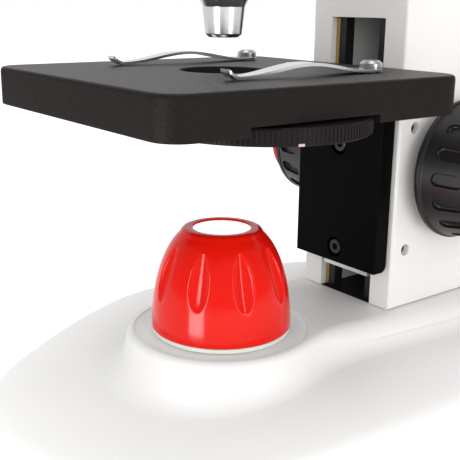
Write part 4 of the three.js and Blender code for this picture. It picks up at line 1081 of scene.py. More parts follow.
@dataclass
class Base:
    """The glossy moulded base: a broad body and a ridge that carries the lamp and the arm."""

    datum: Datum
    half_width: float = 78.0
    waist_y: float = 20.0
    rear_power: float = 3.2
    floor: float = 2.0
    wall: float = 3.0
    edge_radius: float = 12.0
    draft: float = 0.8
    top: float = 31.0
    nose_drop: float = 6.0
    crest: float = 41.0
    crest_fall: float = 1.5
    ridge_nose: float = 32.0
    ridge_waist: float = 26.5
    ridge_rear: float = 33.0
    ridge_end: float = 114.0
    ridge_corner: float = 12.0
    spine_end: float = 80.0
    nose_round: float = 2.4
    flank_round: float = 6.5
    root_fillet: float = 6.5
    wall_lean: float = math.radians(12)
    well_radius: float = 29.0
    well_depth: float = 0.9
    around: int = 360
    feet: tuple = ((-46, -38), (46, -38), (-54, 84), (54, 84))
    cover_screws: tuple = ((-60, 0), (60, 0), (-44, 93), (44, 93))
    switch_half: float = 7.1
    switch_height: float = 13.0
    switch_tilt: float = math.radians(7)

    def plan(self) -> np.ndarray:
        """Draws the base's outline: an ellipse in front and a squarer curve behind."""
        front = self.datum.axis_y - self.datum.base_front
        back = self.datum.base_back - self.datum.axis_y
        angles = np.arange(1440) * 2 * math.pi / 1440
        c, s = np.cos(angles), np.sin(angles)
        power = np.where(s > 0, 2 / self.rear_power, 1.0)
        reach = np.where(s > 0, back - self.waist_y, front + self.waist_y)
        x = np.sign(c) * self.half_width * np.abs(c) ** power
        y = self.waist_y + np.sign(s) * reach * np.abs(s) ** power
        return resampled(np.column_stack([x, y]), 480, 0.3)

    def ridge(self) -> np.ndarray:
        """Draws the ridge's outline: a round nose, a soft waist and a wider rear."""
        join_y = math.sqrt(self.ridge_nose**2 - self.ridge_waist**2)
        join = math.atan2(join_y, self.ridge_waist)
        nose = [-math.pi / 2 + k / 60 * (join + math.pi / 2) for k in range(60)]
        side = [(self.ridge_nose * math.cos(a), self.ridge_nose * math.sin(a)) for a in nose]
        flank_end = self.ridge_end - self.ridge_corner
        for y in np.linspace(join_y, flank_end, 60):
            swell = float(smoothstep(y, join_y, flank_end))
            side.append((self.ridge_waist + (self.ridge_rear - self.ridge_waist) * swell, y))
        for a in np.linspace(0, math.pi / 2, 24)[1:]:
            side.append(
                (
                    self.ridge_rear - self.ridge_corner * (1 - math.cos(a)),
                    self.ridge_end - self.ridge_corner * (1 - math.sin(a)),
                )
            )
        path = np.array(side + [(-x, y) for x, y in side[:0:-1]])
        even = resampled(path, 720, 0.0)
        reach = np.arange(-34, 35)
        weights = np.exp(-((reach / 13.0) ** 2) / 2)
        soft = sum(w * np.roll(even, -k, axis=0) for w, k in zip(weights, reach))
        return resampled(soft / weights.sum(), self.around, 0.6)

    def crest_at(self, y: np.ndarray) -> np.ndarray:
        """Returns the ridge's height, which falls a little to where the arm stands."""
        return self.crest - self.crest_fall * smoothstep(y, 20, 52)

    def top_at(self, y: np.ndarray) -> np.ndarray:
        """Returns the broad upper face's height, which drops towards the nose."""
        return self.top - self.nose_drop * (1 - smoothstep(y, -50, 15))

    def round_at(self, y: np.ndarray) -> np.ndarray:
        """Returns the rounding of the ridge's shoulder, tight about the lamp's well."""
        return self.nose_round + (self.flank_round - self.nose_round) * smoothstep(y, 12, 40)

    def body_height(self, plan: np.ndarray, points: np.ndarray) -> np.ndarray:
        """Returns the broad body's height at points in plan, its rounded edge included."""
        inside = np.clip(distance_to(plan, points) - self.draft, 0, self.edge_radius)
        drop = self.edge_radius - np.sqrt(
            np.maximum(self.edge_radius**2 - (self.edge_radius - inside) ** 2, 0)
        )
        return self.top_at(points[:, 1]) - drop

    def height(self, plan: np.ndarray, points: np.ndarray, outside: np.ndarray) -> np.ndarray:
        """Returns the upper surface's height.

        Args:
            plan: the base's outline.
            points: points in plan.
            outside: each point's distance outside the ridge's outline, negative inside.

        Returns:
            Heights over the shoulder, down the leaning wall, through the root's fillet and out.
        """
        y = points[:, 1]
        body = self.body_height(plan, points)
        crest, rounding = self.crest_at(y), self.round_at(y)
        sine, cosine = math.sin(self.wall_lean), math.cos(self.wall_lean)
        wall_from = -rounding * (1 - cosine)
        wall_top = crest - rounding * (1 - sine)
        arc = np.sqrt(np.maximum(rounding**2 - (outside + rounding) ** 2, 0))
        shoulder = np.where(outside < -rounding, crest, crest - rounding + arc)
        wall = wall_top - (outside - wall_from) * cosine / sine
        fillet = self.root_fillet
        run = (wall_top + sine * fillet - body - fillet) / cosine
        centre = wall_from + cosine * fillet + sine * run
        bowl = body + fillet - np.sqrt(np.maximum(fillet**2 - (outside - centre) ** 2, 0))
        tangent = centre - cosine * fillet
        ridge = np.where(outside < wall_from, shoulder, np.where(outside < tangent, wall, bowl))
        return np.where(outside > centre, body, np.maximum(ridge, body))

    def outer_rings(self) -> list[np.ndarray]:
        """Lays rings over the whole upper side, from the well's middle out to the floor rim."""
        plan, ridge = self.plan(), self.ridge()
        outward = normals_of(ridge)
        outward /= np.linalg.norm(outward, axis=1, keepdims=True)
        spine = np.column_stack([np.zeros(len(ridge)), np.clip(ridge[:, 1], 0, self.spine_end)])
        ways = ridge - spine
        ways /= np.linalg.norm(ways, axis=1, keepdims=True)
        hits, hit_normals = self.hits(plan, ridge, ways)
        gap = np.linalg.norm(hits - ridge, axis=1)
        rounding = self.round_at(ridge[:, 1])
        crest = self.crest_at(ridge[:, 1])
        wall_end = np.minimum(12.5, gap * 0.5)
        rings = self.well_rings(ridge)
        inner = ridge - outward * rounding[:, None]
        angles = np.arctan2(ridge[:, 1], ridge[:, 0])
        rim = np.column_stack([np.cos(angles), np.sin(angles)]) * (self.well_radius + 0.5)
        for t in np.linspace(0, 1, 8)[1:-1]:
            flat = rim * (1 - t) + inner * t
            rings.append(lifted(flat, self.crest_at(flat[:, 1])))
        for turn in np.linspace(0, math.pi / 2 - self.wall_lean, 10):
            outside = -rounding * (1 - math.sin(turn))
            flat = ridge + outward * outside[:, None]
            rings.append(lifted(flat, crest - rounding * (1 - math.cos(turn))))
        start = -rounding * (1 - math.cos(self.wall_lean))
        for t in np.linspace(0, 1, 34)[1:]:
            outside = start + (wall_end - start) * t
            flat = ridge + outward * outside[:, None]
            rings.append(lifted(flat, self.height(plan, flat, outside)))
        last = rings[-1][:, :2]
        edge_span = np.minimum(self.edge_radius, (gap - wall_end) * 0.9 - self.draft)
        widest = np.arccos(1 - edge_span / self.edge_radius)
        first = hits - hit_normals * (self.draft + edge_span)[:, None]
        for t in np.linspace(0, 1, 14)[1:-1]:
            rings.append(self.raised(plan, ridge, last * (1 - t) + first * t))
        for t in np.linspace(1, 0, 14):
            inset = self.draft + self.edge_radius * (1 - np.cos(widest * t))
            rings.append(self.raised(plan, ridge, hits - hit_normals * inset[:, None]))
        side = self.top_at(hits[:, 1]) - self.edge_radius
        for t in np.linspace(0, 1, 6)[1:]:
            flat = hits - hit_normals * self.draft * (1 - t)
            rings.append(lifted(flat, side + (self.floor - side) * t))
        return rings + self.inner_rings(hits, hit_normals)

    def raised(self, plan: np.ndarray, ridge: np.ndarray, flat: np.ndarray) -> np.ndarray:
        """Lifts points in plan onto the upper surface."""
        return lifted(flat, self.height(plan, flat, distance_to(ridge, flat)))

    def well_rings(self, ridge: np.ndarray) -> list[np.ndarray]:
        """Lays the rings of the lamp's well, from its middle to its rim."""
        angles = np.arctan2(ridge[:, 1], ridge[:, 0])
        circle = np.column_stack([np.cos(angles), np.sin(angles)])
        floor = self.crest - self.well_depth
        rings = []
        for radius, height in (
            (1.0, floor), (20.0, floor), (self.well_radius - 4.0, floor),
            (self.well_radius - 2.6, floor + 0.10), (self.well_radius - 1.4, floor + 0.32),
            (self.well_radius - 0.5, floor + 0.62),
        ):
            rings.append(lifted(circle * radius, height))
        for turn in np.linspace(0, math.pi / 2, 5):
            flat = circle * (self.well_radius + 0.5 * (1 - math.cos(turn)))
            height = self.crest_at(flat[:, 1]) - 0.4 * (1 - math.sin(turn))
            rings.append(lifted(flat, height))
        return rings

    def inner_rings(self, hits: np.ndarray, outward: np.ndarray) -> list[np.ndarray]:
        """Lays the rings of the shell's inside, from the floor rim to the middle."""
        top = self.top_at(hits[:, 1])
        under = 20.0
        levels = (
            (self.wall, np.full(len(hits), self.floor)), (self.wall + 0.5, top - self.edge_radius),
            (self.wall + 4.0, top - self.wall - 2.0), (16.0, top - self.wall - 1.0),
        )
        rings = [lifted(hits - outward * d, z) for d, z in levels]
        middle = np.array([0.0, self.waist_y])
        inner = middle + (rings[-1][:, :2] - middle) * 0.3
        rings.append(lifted(inner, under))
        return rings

    @staticmethod
    def hits(
        plan: np.ndarray, starts: np.ndarray, ways: np.ndarray
    ) -> tuple[np.ndarray, np.ndarray]:
        """Finds where rays from inside the outline leave it.

        Args:
            plan: the outline.
            starts: the rays' starts.
            ways: the rays' unit directions.

        Returns:
            The points on the outline, and the outward normals there.
        """
        step = np.roll(plan, -1, axis=0) - plan
        corner_normals = normals_of(plan)
        points, normals = [], []
        for start, way in zip(starts, ways):
            cross = way[0] * step[:, 1] - way[1] * step[:, 0]
            cross = np.where(np.abs(cross) < 1e-9, 1e-9, cross)
            to = plan - start
            along = (to[:, 0] * step[:, 1] - to[:, 1] * step[:, 0]) / cross
            share = (to[:, 0] * way[1] - to[:, 1] * way[0]) / cross
            good = (along > 0) & (share >= -1e-6) & (share <= 1 + 1e-6)
            k = int(np.argmin(np.where(good, along, np.inf)))
            points.append(start + way * along[k])
            normal = corner_normals[k] * (1 - share[k])
            normal = normal + corner_normals[(k + 1) % len(plan)] * share[k]
            normals.append(normal / np.linalg.norm(normal))
        return np.array(points), np.array(normals)

    def build(self, shop: Workshop) -> None:
        """Publishes the shell, its cover, the feet, the screws, the battery bay and the switch."""
        place = at(0, self.datum.axis_y, 0)
        back = self.datum.base_back - self.datum.axis_y
        opening = Shape.box((-5.8, back - 7, 5.2), (5.8, back + 2, 20.8))
        shell = Shape.skinned(self.outer_rings()).minus(opening).placed(place)
        shop.publish("moulded_base", shell, Look.BASE_GLOSS, "stand", ["base_shell"], crease=38)
        shop.dress("base_cover", Look.BLACK_PLASTIC)
        self.build_feet(shop, place)
        self.build_battery(shop)
        self.build_switch(shop, place, back)

    def build_feet(self, shop: Workshop, place: Matrix) -> None:
        """Publishes the four feet and the cover's screws."""
        foot = Shape.turned(
            [
                (0, 0.4), (4.6, 0.4, 0.2), (5.0, 0, 0.2), (7.0, 0, 0.3), (8.0, 2.0, 0.3),
                (3.0, 2.0), (3.0, 4.8), (0, 4.8),
            ],
            64,
        )
        feet = shop.repeated(foot, [(*p, 0) for p in self.feet], Look.FOOT_RUBBER)
        nodes = [f"rubber_foot_{k}" for k in range(1, 5)]
        shop.publish("rubber_feet", feet.placed(place), Look.FOOT_RUBBER, "stand", nodes)
        screw = Shape.turned(
            [(0, 0.6), (2.6, 0.6, 0.4), (2.6, 2.0), (1.3, 2.0), (1.3, 14, 0.3), (0, 14)], 40
        ).minus(
            Shape.box((-1.7, -0.3, 0.2), (1.7, 0.3, 1.3)),
            Shape.box((-0.3, -1.7, 0.2), (0.3, 1.7, 1.3)),
        )
        screws = shop.repeated(screw, [(*p, 0) for p in self.cover_screws], Look.STEEL)
        nodes = [f"cover_screw_{k}" for k in range(1, 5)]
        shop.publish("cover_screws", screws.placed(place), Look.STEEL, "stand", nodes)

    def build_battery(self, shop: Workshop) -> None:
        """Publishes the cells, their end caps and the ribbed door."""
        low, high = (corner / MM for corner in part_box("battery_door"))
        door = Shape.box(low, high, 0.3, 1.5).minus(
            Shape.box((-9, high.y - 5, low.z - 1), (9, high.y - 1.6, low.z + 1.0), 0.2, 1.4)
        )
        rib = Shape.slab(rectangle(-9, 9, -0.4, 0.4, 0.39), low.z, low.z + 0.9, 0.25)
        marks = [(0, low.y + 5 + 2.2 * k, 0) for k in range(5)]
        ribs = shop.repeated(rib, marks, Look.BLACK_PLASTIC)
        ribs.points[:, 2] -= 0.25
        shop.publish(
            "ribbed_battery_door", door, Look.BLACK_PLASTIC, "battery_door", ["battery_door"]
        )
        shop.publish("battery_door_ribs", ribs, Look.BLACK_PLASTIC, "battery_door")
        jackets, caps = [], []
        for k in range(3):
            low, high = (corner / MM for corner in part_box(f"battery_cell_{k + 1}"))
            centre = (low + high) / 2
            way = 1.0 if k % 2 else -1.0
            spot = at(0, centre.y, centre.z)
            jacket = Shape.turned(
                [(0, -24.7), (6.3, -24.7), (7.1, -24.7, 0.7), (7.1, 23.8, 0.7), (0, 23.8)], 64
            )
            cap = Shape.turned([(0, 23.6), (2.8, 23.6), (2.8, 25, 0.4), (0, 25)], 40).with_parts(
                Shape.turned([(0, -25), (5.6, -25, 0.3), (5.6, -24.6), (0, -24.6)], 40)
            )
            jackets.append(jacket.placed(along_x(way), spot))
            caps.append(cap.placed(along_x(way), spot))
        cells = [f"battery_cell_{k}" for k in range(1, 4)]
        shop.publish(
            "cell_jackets", jackets[0].with_parts(*jackets[1:]), Look.CELL_JACKET, "stand", cells
        )
        shop.publish("cell_contacts", caps[0].with_parts(*caps[1:]), Look.STEEL, "stand")

    def build_switch(self, shop: Workshop, place: Matrix, back: float) -> None:
        """Publishes the rocker of the power switch, with a hollowed face and a grip ridge."""
        half = self.switch_half
        outline = [(-4.5, 1 - half), (1.2, -half)]
        outline += [(1.2 - 0.9 * (1 - (t / half) ** 2), t) for t in np.linspace(-6, 6, 17)]
        outline += [(1.2, half), (-4.5, half - 1)]
        rocker = Shape.side_slab(outline, 5.5, 0.5)
        tilt = Matrix.Rotation(self.switch_tilt, 4, "X")
        spot = at(0, back - 2.3, self.switch_height)
        shop.publish(
            "switch_rocker", rocker.placed(tilt, spot, place), Look.SATIN_BLACK, "power_switch",
            ["power_switch"],
        )
        bar = Shape.side_slab(
            [(0.2, -0.45, 0.2), (0.75, -0.45, 0.2), (0.75, 0.45, 0.2), (0.2, 0.45, 0.2)], 3.2, 0.2
        )
        bars = shop.repeated(
            bar, [(0, 0.32, 3.4), (0, 0.02, 2.0), (0, 0.62, 4.8)], Look.SATIN_BLACK
        )
        shop.publish(
            "switch_grip", bars.placed(tilt, spot, place), Look.SATIN_BLACK, "power_switch"
        )


# ---- lamp


@dataclass
class Lamp:
    """The lamp under its fluted red cap, in the well at the front of the ridge."""

    datum: Datum
    seat: float = 42.0
    radius: float = 23.0
    height: float = 33.0
    full_height: float = 35.8
    rise_power: float = 2.03
    close_power: float = 0.366
    wall: float = 2.4
    window_radius: float = 9.8
    window_thickness: float = 2.0
    window_inset: float = 0.6
    flute_count: int = 9
    flute_phase: float = math.radians(-16.9)
    flute_middle: float = 19.6
    flute_half_height: float = 8.7
    flute_half_angle: float = math.radians(9.3)
    flute_depth: float = 1.7
    well_floor: float = 40.1

    def wall_radius(self, height: float) -> float:
        """Returns the cap's outer radius at a height above its rim."""
        rise = (height / self.full_height) ** self.rise_power
        return self.radius * (1 - rise) ** self.close_power

    def cap(self) -> Shape:
        """Turns the cap: a bowed wall, a flat ring about the window, and a thin inside."""
        mouth = self.window_radius + GAP
        lip = self.window_radius - 0.5
        ledge = self.height - self.window_inset - self.window_thickness - GAP
        shoulder = 1.6
        wall_top = self.height - shoulder
        outside = [(self.wall_radius(wall_top * k / 84), wall_top * k / 84) for k in range(1, 85)]
        flat_from = self.wall_radius(wall_top) - 1.6
        inside = [(self.wall_radius(h) - self.wall, h) for h in np.linspace(ledge - 3, 0.4, 8)]
        return Shape.turned(
            [
                (self.radius - self.wall, 0), (self.radius - 0.25, 0), (self.radius, 0.3),
                *outside[1:], (self.wall_radius(wall_top) - 0.42, wall_top + 0.8),
                (self.wall_radius(wall_top) - 0.95, wall_top + 1.3),
                (flat_from, self.height - 0.06), (flat_from - 0.7, self.height),
                (lip + 0.5, self.height), (lip + 0.12, self.height - 0.12),
                (lip, self.height - 0.4), (mouth, self.height - 0.5), (mouth, ledge),
                (self.window_radius - 1.6, ledge), (self.window_radius - 1.6, ledge - 1.6), *inside,
            ],
            540,
        )

    def build(self, shop: Workshop) -> None:
        """Publishes the cap, its window, the collar, the board and the emitter."""
        place = at(0, self.datum.axis_y, 0)
        cap = shop.flutes.run(
            self.cap().placed(at(0, 0, self.seat)), Look.RED_GLOSS, Count=self.flute_count,
            Phase=self.flute_phase, Middle_Height=self.seat + self.flute_middle,
            Half_Height=self.flute_half_height, Half_Angle=self.flute_half_angle,
            Depth=self.flute_depth,
        )
        fluted_cap = shop.publish(
            "fluted_cap", cap.placed(place), Look.RED_GLOSS, "lamp_cap", ["lamp_dome"], 62
        )
        # The cap would otherwise tint the white base about it.
        fluted_cap.visible_diffuse = False
        top = self.seat + self.height - self.window_inset
        radius = self.window_radius
        steps = [(radius - 0.9 * k, top - (0.12 if k % 2 else 0.0), 0.1) for k in range(1, 9)]
        window = Shape.turned(
            [(0, top - 0.1), *reversed(steps), (radius - 0.3, top, 0.1), (radius, top - 0.3),
             (radius, top - self.window_thickness), (0, top - self.window_thickness)],
            128,
        )
        shop.publish(
            "diffuser_window", window.placed(place), Look.FROSTED_LENS, "lamp_cap", ["lamp_window"]
        )
        low = self.well_floor + GAP
        outer, lip, rim = self.radius - 0.4, self.radius - self.wall - 0.5, self.seat - GAP
        collar = Shape.turned(
            [(0, low), (outer, low, 0.3), (outer, rim, 0.5), (lip, rim), (lip, rim + 4, 0.3),
             (lip - 2, rim + 4, 0.3), (lip - 2, rim + 0.5), (0, rim + 0.5)],
            160,
        )
        shop.publish("lamp_seat", collar.placed(place), Look.COLLAR_CREAM, "stand", ["lamp_collar"])
        shop.dress("led_board", Look.BOARD_GREEN)
        shop.dress("led_emitter", Look.FROSTED_LENS)


# ---- arm


@dataclass
class Arm:
    """The painted C-shaped arm with its slide channel and the ring that carries the head."""

    datum: Datum
    half_width: float = 22.0
    front: float = 57.55
    back: float = 104.0
    foot: float = 39.8
    reach_bottom: float = 196.0
    reach_top: float = 216.0
    ring_radius: float = 24.0
    edge: float = 1.1
    channel_half: float = 12.64
    channel_back: float = 92.0
    channel_top: float = 140.0
    bush_radius: float = 7.5
    neck_radius: float = 16.0
    neck_depth: float = 11.0
    light_bore: float = 8.0
    lock_z: float = 210.0
    side_holes: tuple = ((65.0, 104.0), (64.3, 61.1))
    side_hole_radius: float = 1.95

    def outline(self) -> list[Sequence[float]]:
        """Draws the arm from the side: an upright, a bowed back and a level reach."""
        bottom, top = self.reach_bottom, self.reach_top
        path: list[Sequence[float]] = [(self.front, self.foot), (self.back, self.foot)]
        path += bezier((self.back, 120), (self.back, 175), (92, top), (44, top))
        path += [(44, top), (-8, top), (-8, bottom)]
        path += bezier((26, bottom), (48, bottom), (self.front, 182), (self.front, 152))
        path.append((self.front, 152))
        return path

    def casting(self) -> Shape:
        """Joins the arm and its ring, and cuts the channel and the bores."""
        body = Shape.side_slab(self.outline(), self.half_width, self.edge)
        bottom, top = self.reach_bottom, self.reach_top
        ring = Shape.turned(
            [(0, bottom), (self.ring_radius, bottom, 1.2), (self.ring_radius, top, 1.2), (0, top)],
            128,
        )
        half, reach = self.channel_half, self.half_width + 1
        bush = Shape.rod(self.bush_radius + GAP, -reach, reach, 64)
        light = Shape.rod(self.light_bore, bottom - 1, top + 1, 64)
        seat = top - self.neck_depth - 0.6
        neck = Shape.rod(self.neck_radius + GAP, seat, top + 1, 96)
        lock = Shape.rod(2.3, 0, 26, 40)
        hole = Shape.turned([(0, -3), (self.side_hole_radius, -3), (self.side_hole_radius, 0),
                             (self.side_hole_radius + 0.3, 0.6), (0, 0.6)], 40)
        holes = [
            hole.placed(along_x(side), at(side * (self.half_width - 0.3), y, z))
            for y, z in self.side_holes
            for side in (-1, 1)
        ]
        channel = Shape.box(
            (-half, self.front - 2, self.foot - 2), (half, self.channel_back, self.channel_top)
        )
        return body.plus(ring).minus(
            channel,
            bush.placed(
                along_x(), at(0, self.datum.drive_y - self.datum.axis_y, self.datum.drive_z)
            ),
            light, neck, lock.placed(Matrix.Rotation(math.pi / 2, 4, "X"), at(0, 0, self.lock_z)),
            *holes,
        )

    def build(self, shop: Workshop) -> None:
        """Publishes the arm with the grub screws in its side holes, and dresses what it holds."""
        place = at(0, self.datum.axis_y, 0)
        shop.publish("cast_arm", self.casting().placed(place), Look.ARM_PAINT, "stand", ["arm"], 30)
        grub = Shape.turned([(0, -1.4), (1.55, -1.4), (1.55, 0, 0.3), (0, 0)], 32).minus(
            Shape.slab(hexagon(0.8), -1.0, 1.0)
        )
        for side, label in ((-1, "left"), (1, "right")):
            spots = [(side * (self.half_width - 1.9), y, z) for y, z in self.side_holes]
            grubs = shop.repeated(grub.placed(along_x(side)), spots, Look.STEEL)
            shop.publish(f"grub_screws_{label}", grubs.placed(place), Look.BLACK_STEEL, "stand")
        # Dark sheets on the channel's back wall and floor are painted shade: they darken the deep
        # channel under the stage's bracket.
        half, back = self.channel_half - GAP, self.channel_back
        shade_back_sheet = Shape.box(
            (-half, back - 0.4, self.foot + 0.1), (half, back - 0.05, self.channel_top - 1)
        )
        shade_floor_sheet = Shape.box(
            (-half, self.front + 0.2, self.foot - 0.1), (half, back - 0.5, self.foot + 0.2)
        )
        shop.publish(
            "channel_liner", shade_back_sheet.with_parts(shade_floor_sheet).placed(place), Look.DISC_BLACK, "stand"
        )
        for side, label in ((-1, "left"), (1, "right")):
            shop.dress(f"guide_rail_{label}", Look.BLACK_STEEL)
            low, high = (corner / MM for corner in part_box(f"guide_rail_{label}"))
            outer = max(abs(low.x), abs(high.x))
            edges = sorted((side * (outer - 1.6), side * (outer - 0.1)))
            strip = Shape.box((edges[0], low.y - 0.12, low.z), (edges[1], low.y + 0.3, high.z), 0.1)
            shop.publish(f"wear_strip_{label}", strip, Look.BRASS, "stand")
        for node in ("arm_bolt_left", "arm_bolt_right"):
            shop.dress(node, Look.STEEL)
        self.build_lock(shop, place)

    def build_lock(self, shop: Workshop, place: Matrix) -> None:
        """Publishes the screw that locks the head, with a ribbed knob."""
        out = self.ring_radius
        screw = Shape.turned(
            [(0, 14.8), (2, 14.8, 0.3), (2, out + 0.5), (4.7, out + 0.5, 0.4), (4.9, out + 1.5),
             (4.9, out + 7, 0.3), (4.6, out + 8, 0.8), (0, out + 8)], 72)
        ribs = shop.ribs(28, 4.95, (0.8, 0.55, 5.4), out + 1.5, Look.SATIN_BLACK, 0.2)
        turn = Matrix.Rotation(math.pi / 2, 4, "X")
        spot = at(0, 0, self.lock_z)
        shop.publish("lock_screw", screw.placed(turn, spot, place), Look.SATIN_BLACK,
                     "head_lock", ["head_lock_screw"])
        shop.publish(
            "lock_screw_ribs", ribs.placed(turn, spot, place), Look.SATIN_BLACK, "head_lock"
        )


# ---- drive


@dataclass
class Drive:
    """The coaxial coarse and fine focusing knobs on both sides of the arm."""

    datum: Datum
    inner: float = 26.4
    outer: float = 48.4
    rim_radius: float = 24.5
    rim_width: float = 3.0
    end_radius: float = 21.0
    ring_width: float = 2.4
    ring_step: float = 1.2
    hub: float = 4.5
    fine_radius: float = 14.5
    fine_length: float = 7.6
    band_radius: float = 16.6
    slot_count: int = 16
    slot_from: float = 33.2
    slot_to: float = 44.6
    slot_width: float = 4.6
    slot_depth: float = 1.5

    def coarse(self, shop: Workshop) -> Shape:
        """Turns a coarse knob and mills its rounded slots."""
        step = self.end_radius - self.ring_step - GAP
        ledge = self.outer - self.ring_width - GAP
        pocket = self.fine_radius + 1
        body = Shape.turned(
            [
                (self.hub, self.inner + 0.5), (self.rim_radius - 1.6, self.inner, 0.6),
                (self.rim_radius, self.inner + 1.1, 0.8),
                (self.rim_radius, self.inner + self.rim_width - 0.4, 0.5),
                (self.rim_radius - 0.8, self.inner + self.rim_width + 0.3, 0.5),
                (self.end_radius, ledge, 0.5), (step, ledge), (step, self.outer, 0.4),
                (pocket, self.outer, 0.5), (pocket, self.outer - 6), (self.hub, self.outer - 6),
            ],
            192,
        )
        half = self.slot_width / 2
        slot = Shape.slab(
            rectangle(self.slot_from - 38, self.slot_to - 38, -half, half, half * 0.98),
            -self.slot_depth, 4.0, 0.7,
        )
        upright = slot.placed(
            Matrix.Rotation(-math.pi / 2, 4, "Y"), Matrix.Rotation(math.pi, 4, "Z")
        )
        lean = math.atan2(self.rim_radius - self.end_radius, self.outer - self.inner)
        upright = upright.placed(Matrix.Rotation(-lean, 4, "Y"))
        cutters = shop.ring.run(
            upright, Look.SATIN_BLACK, Count=self.slot_count,
            Radius=(self.rim_radius + self.end_radius) / 2 - 0.5, Start_Angle=0.0, Height=38.0,
        )
        return body.minus(cutters)

    def fine(self) -> Shape:
        """Turns a fine knob with a dished end."""
        start, end, bore = self.outer - 5.7, self.outer + self.fine_length, 2.5
        radius = self.fine_radius - 0.35
        return Shape.turned(
            [
                (bore, start), (radius - 2, start), (radius, start + 3, 0.6),
                (radius, end - 1.6, 1.0), (radius - 1.8, end, 0.8), (radius - 4, end, 0.5),
                (radius - 5, end - 0.8, 0.5), (0, end - 0.8), (0, end - 3), (bore, end - 3),
            ],
            128,
        )

    def build(self, shop: Workshop) -> None:
        """Publishes the knobs and rings, and dresses the shafts and bushes."""
        place = at(0, self.datum.drive_y, self.datum.drive_z)
        coarse, fine = self.coarse(shop), self.fine()
        ribs = shop.ribs(
            60, self.fine_radius - 0.35, (0.7, 0.8, 1.8), self.outer + 0.6, Look.SATIN_BLACK, 0.25
        )
        step = self.end_radius - self.ring_step
        ledge = self.outer - self.ring_width
        ring = Shape.turned(
            [(step, ledge), (self.end_radius, ledge, 0.3),
             (self.end_radius, self.outer - 0.3, 0.6), (step, self.outer - 0.3)], 160
        )
        band_low, band_high = self.outer + 2.6, self.outer + self.fine_length - 0.4
        band = Shape.turned(
            [(self.fine_radius - 1, band_low), (self.band_radius, band_low, 0.4),
             (self.band_radius, band_high, 0.8), (self.fine_radius - 1, band_high)], 160
        )
        for side, label in ((-1, "left"), (1, "right")):
            turn = along_x(side)
            for name, shape, finish, body, node in (
                ("coarse_knob", coarse, Look.SATIN_BLACK, "coarse_drive", "coarse_knob"),
                ("end_ring", ring, Look.SATIN_BLACK, "coarse_drive", "knob_ring"),
                ("fine_knob", fine, Look.SATIN_BLACK, "fine_drive", "fine_knob"),
                ("fine_knob_ribs", ribs, Look.SATIN_BLACK, "fine_drive", None),
                ("fine_knob_band", band, Look.RED_GLOSS, "fine_drive", None),
            ):
                nodes = [f"{node}_{label}"] if node else []
                shop.publish(
                    f"{name}_turned_{label}", shape.placed(turn, place), finish, body, nodes
                )
            shop.dress(f"shaft_bush_{label}", Look.BRASS)
        shop.dress("pinion_shaft", Look.STEEL)
        shop.dress("fine_shaft", Look.STEEL)


# ---- stage


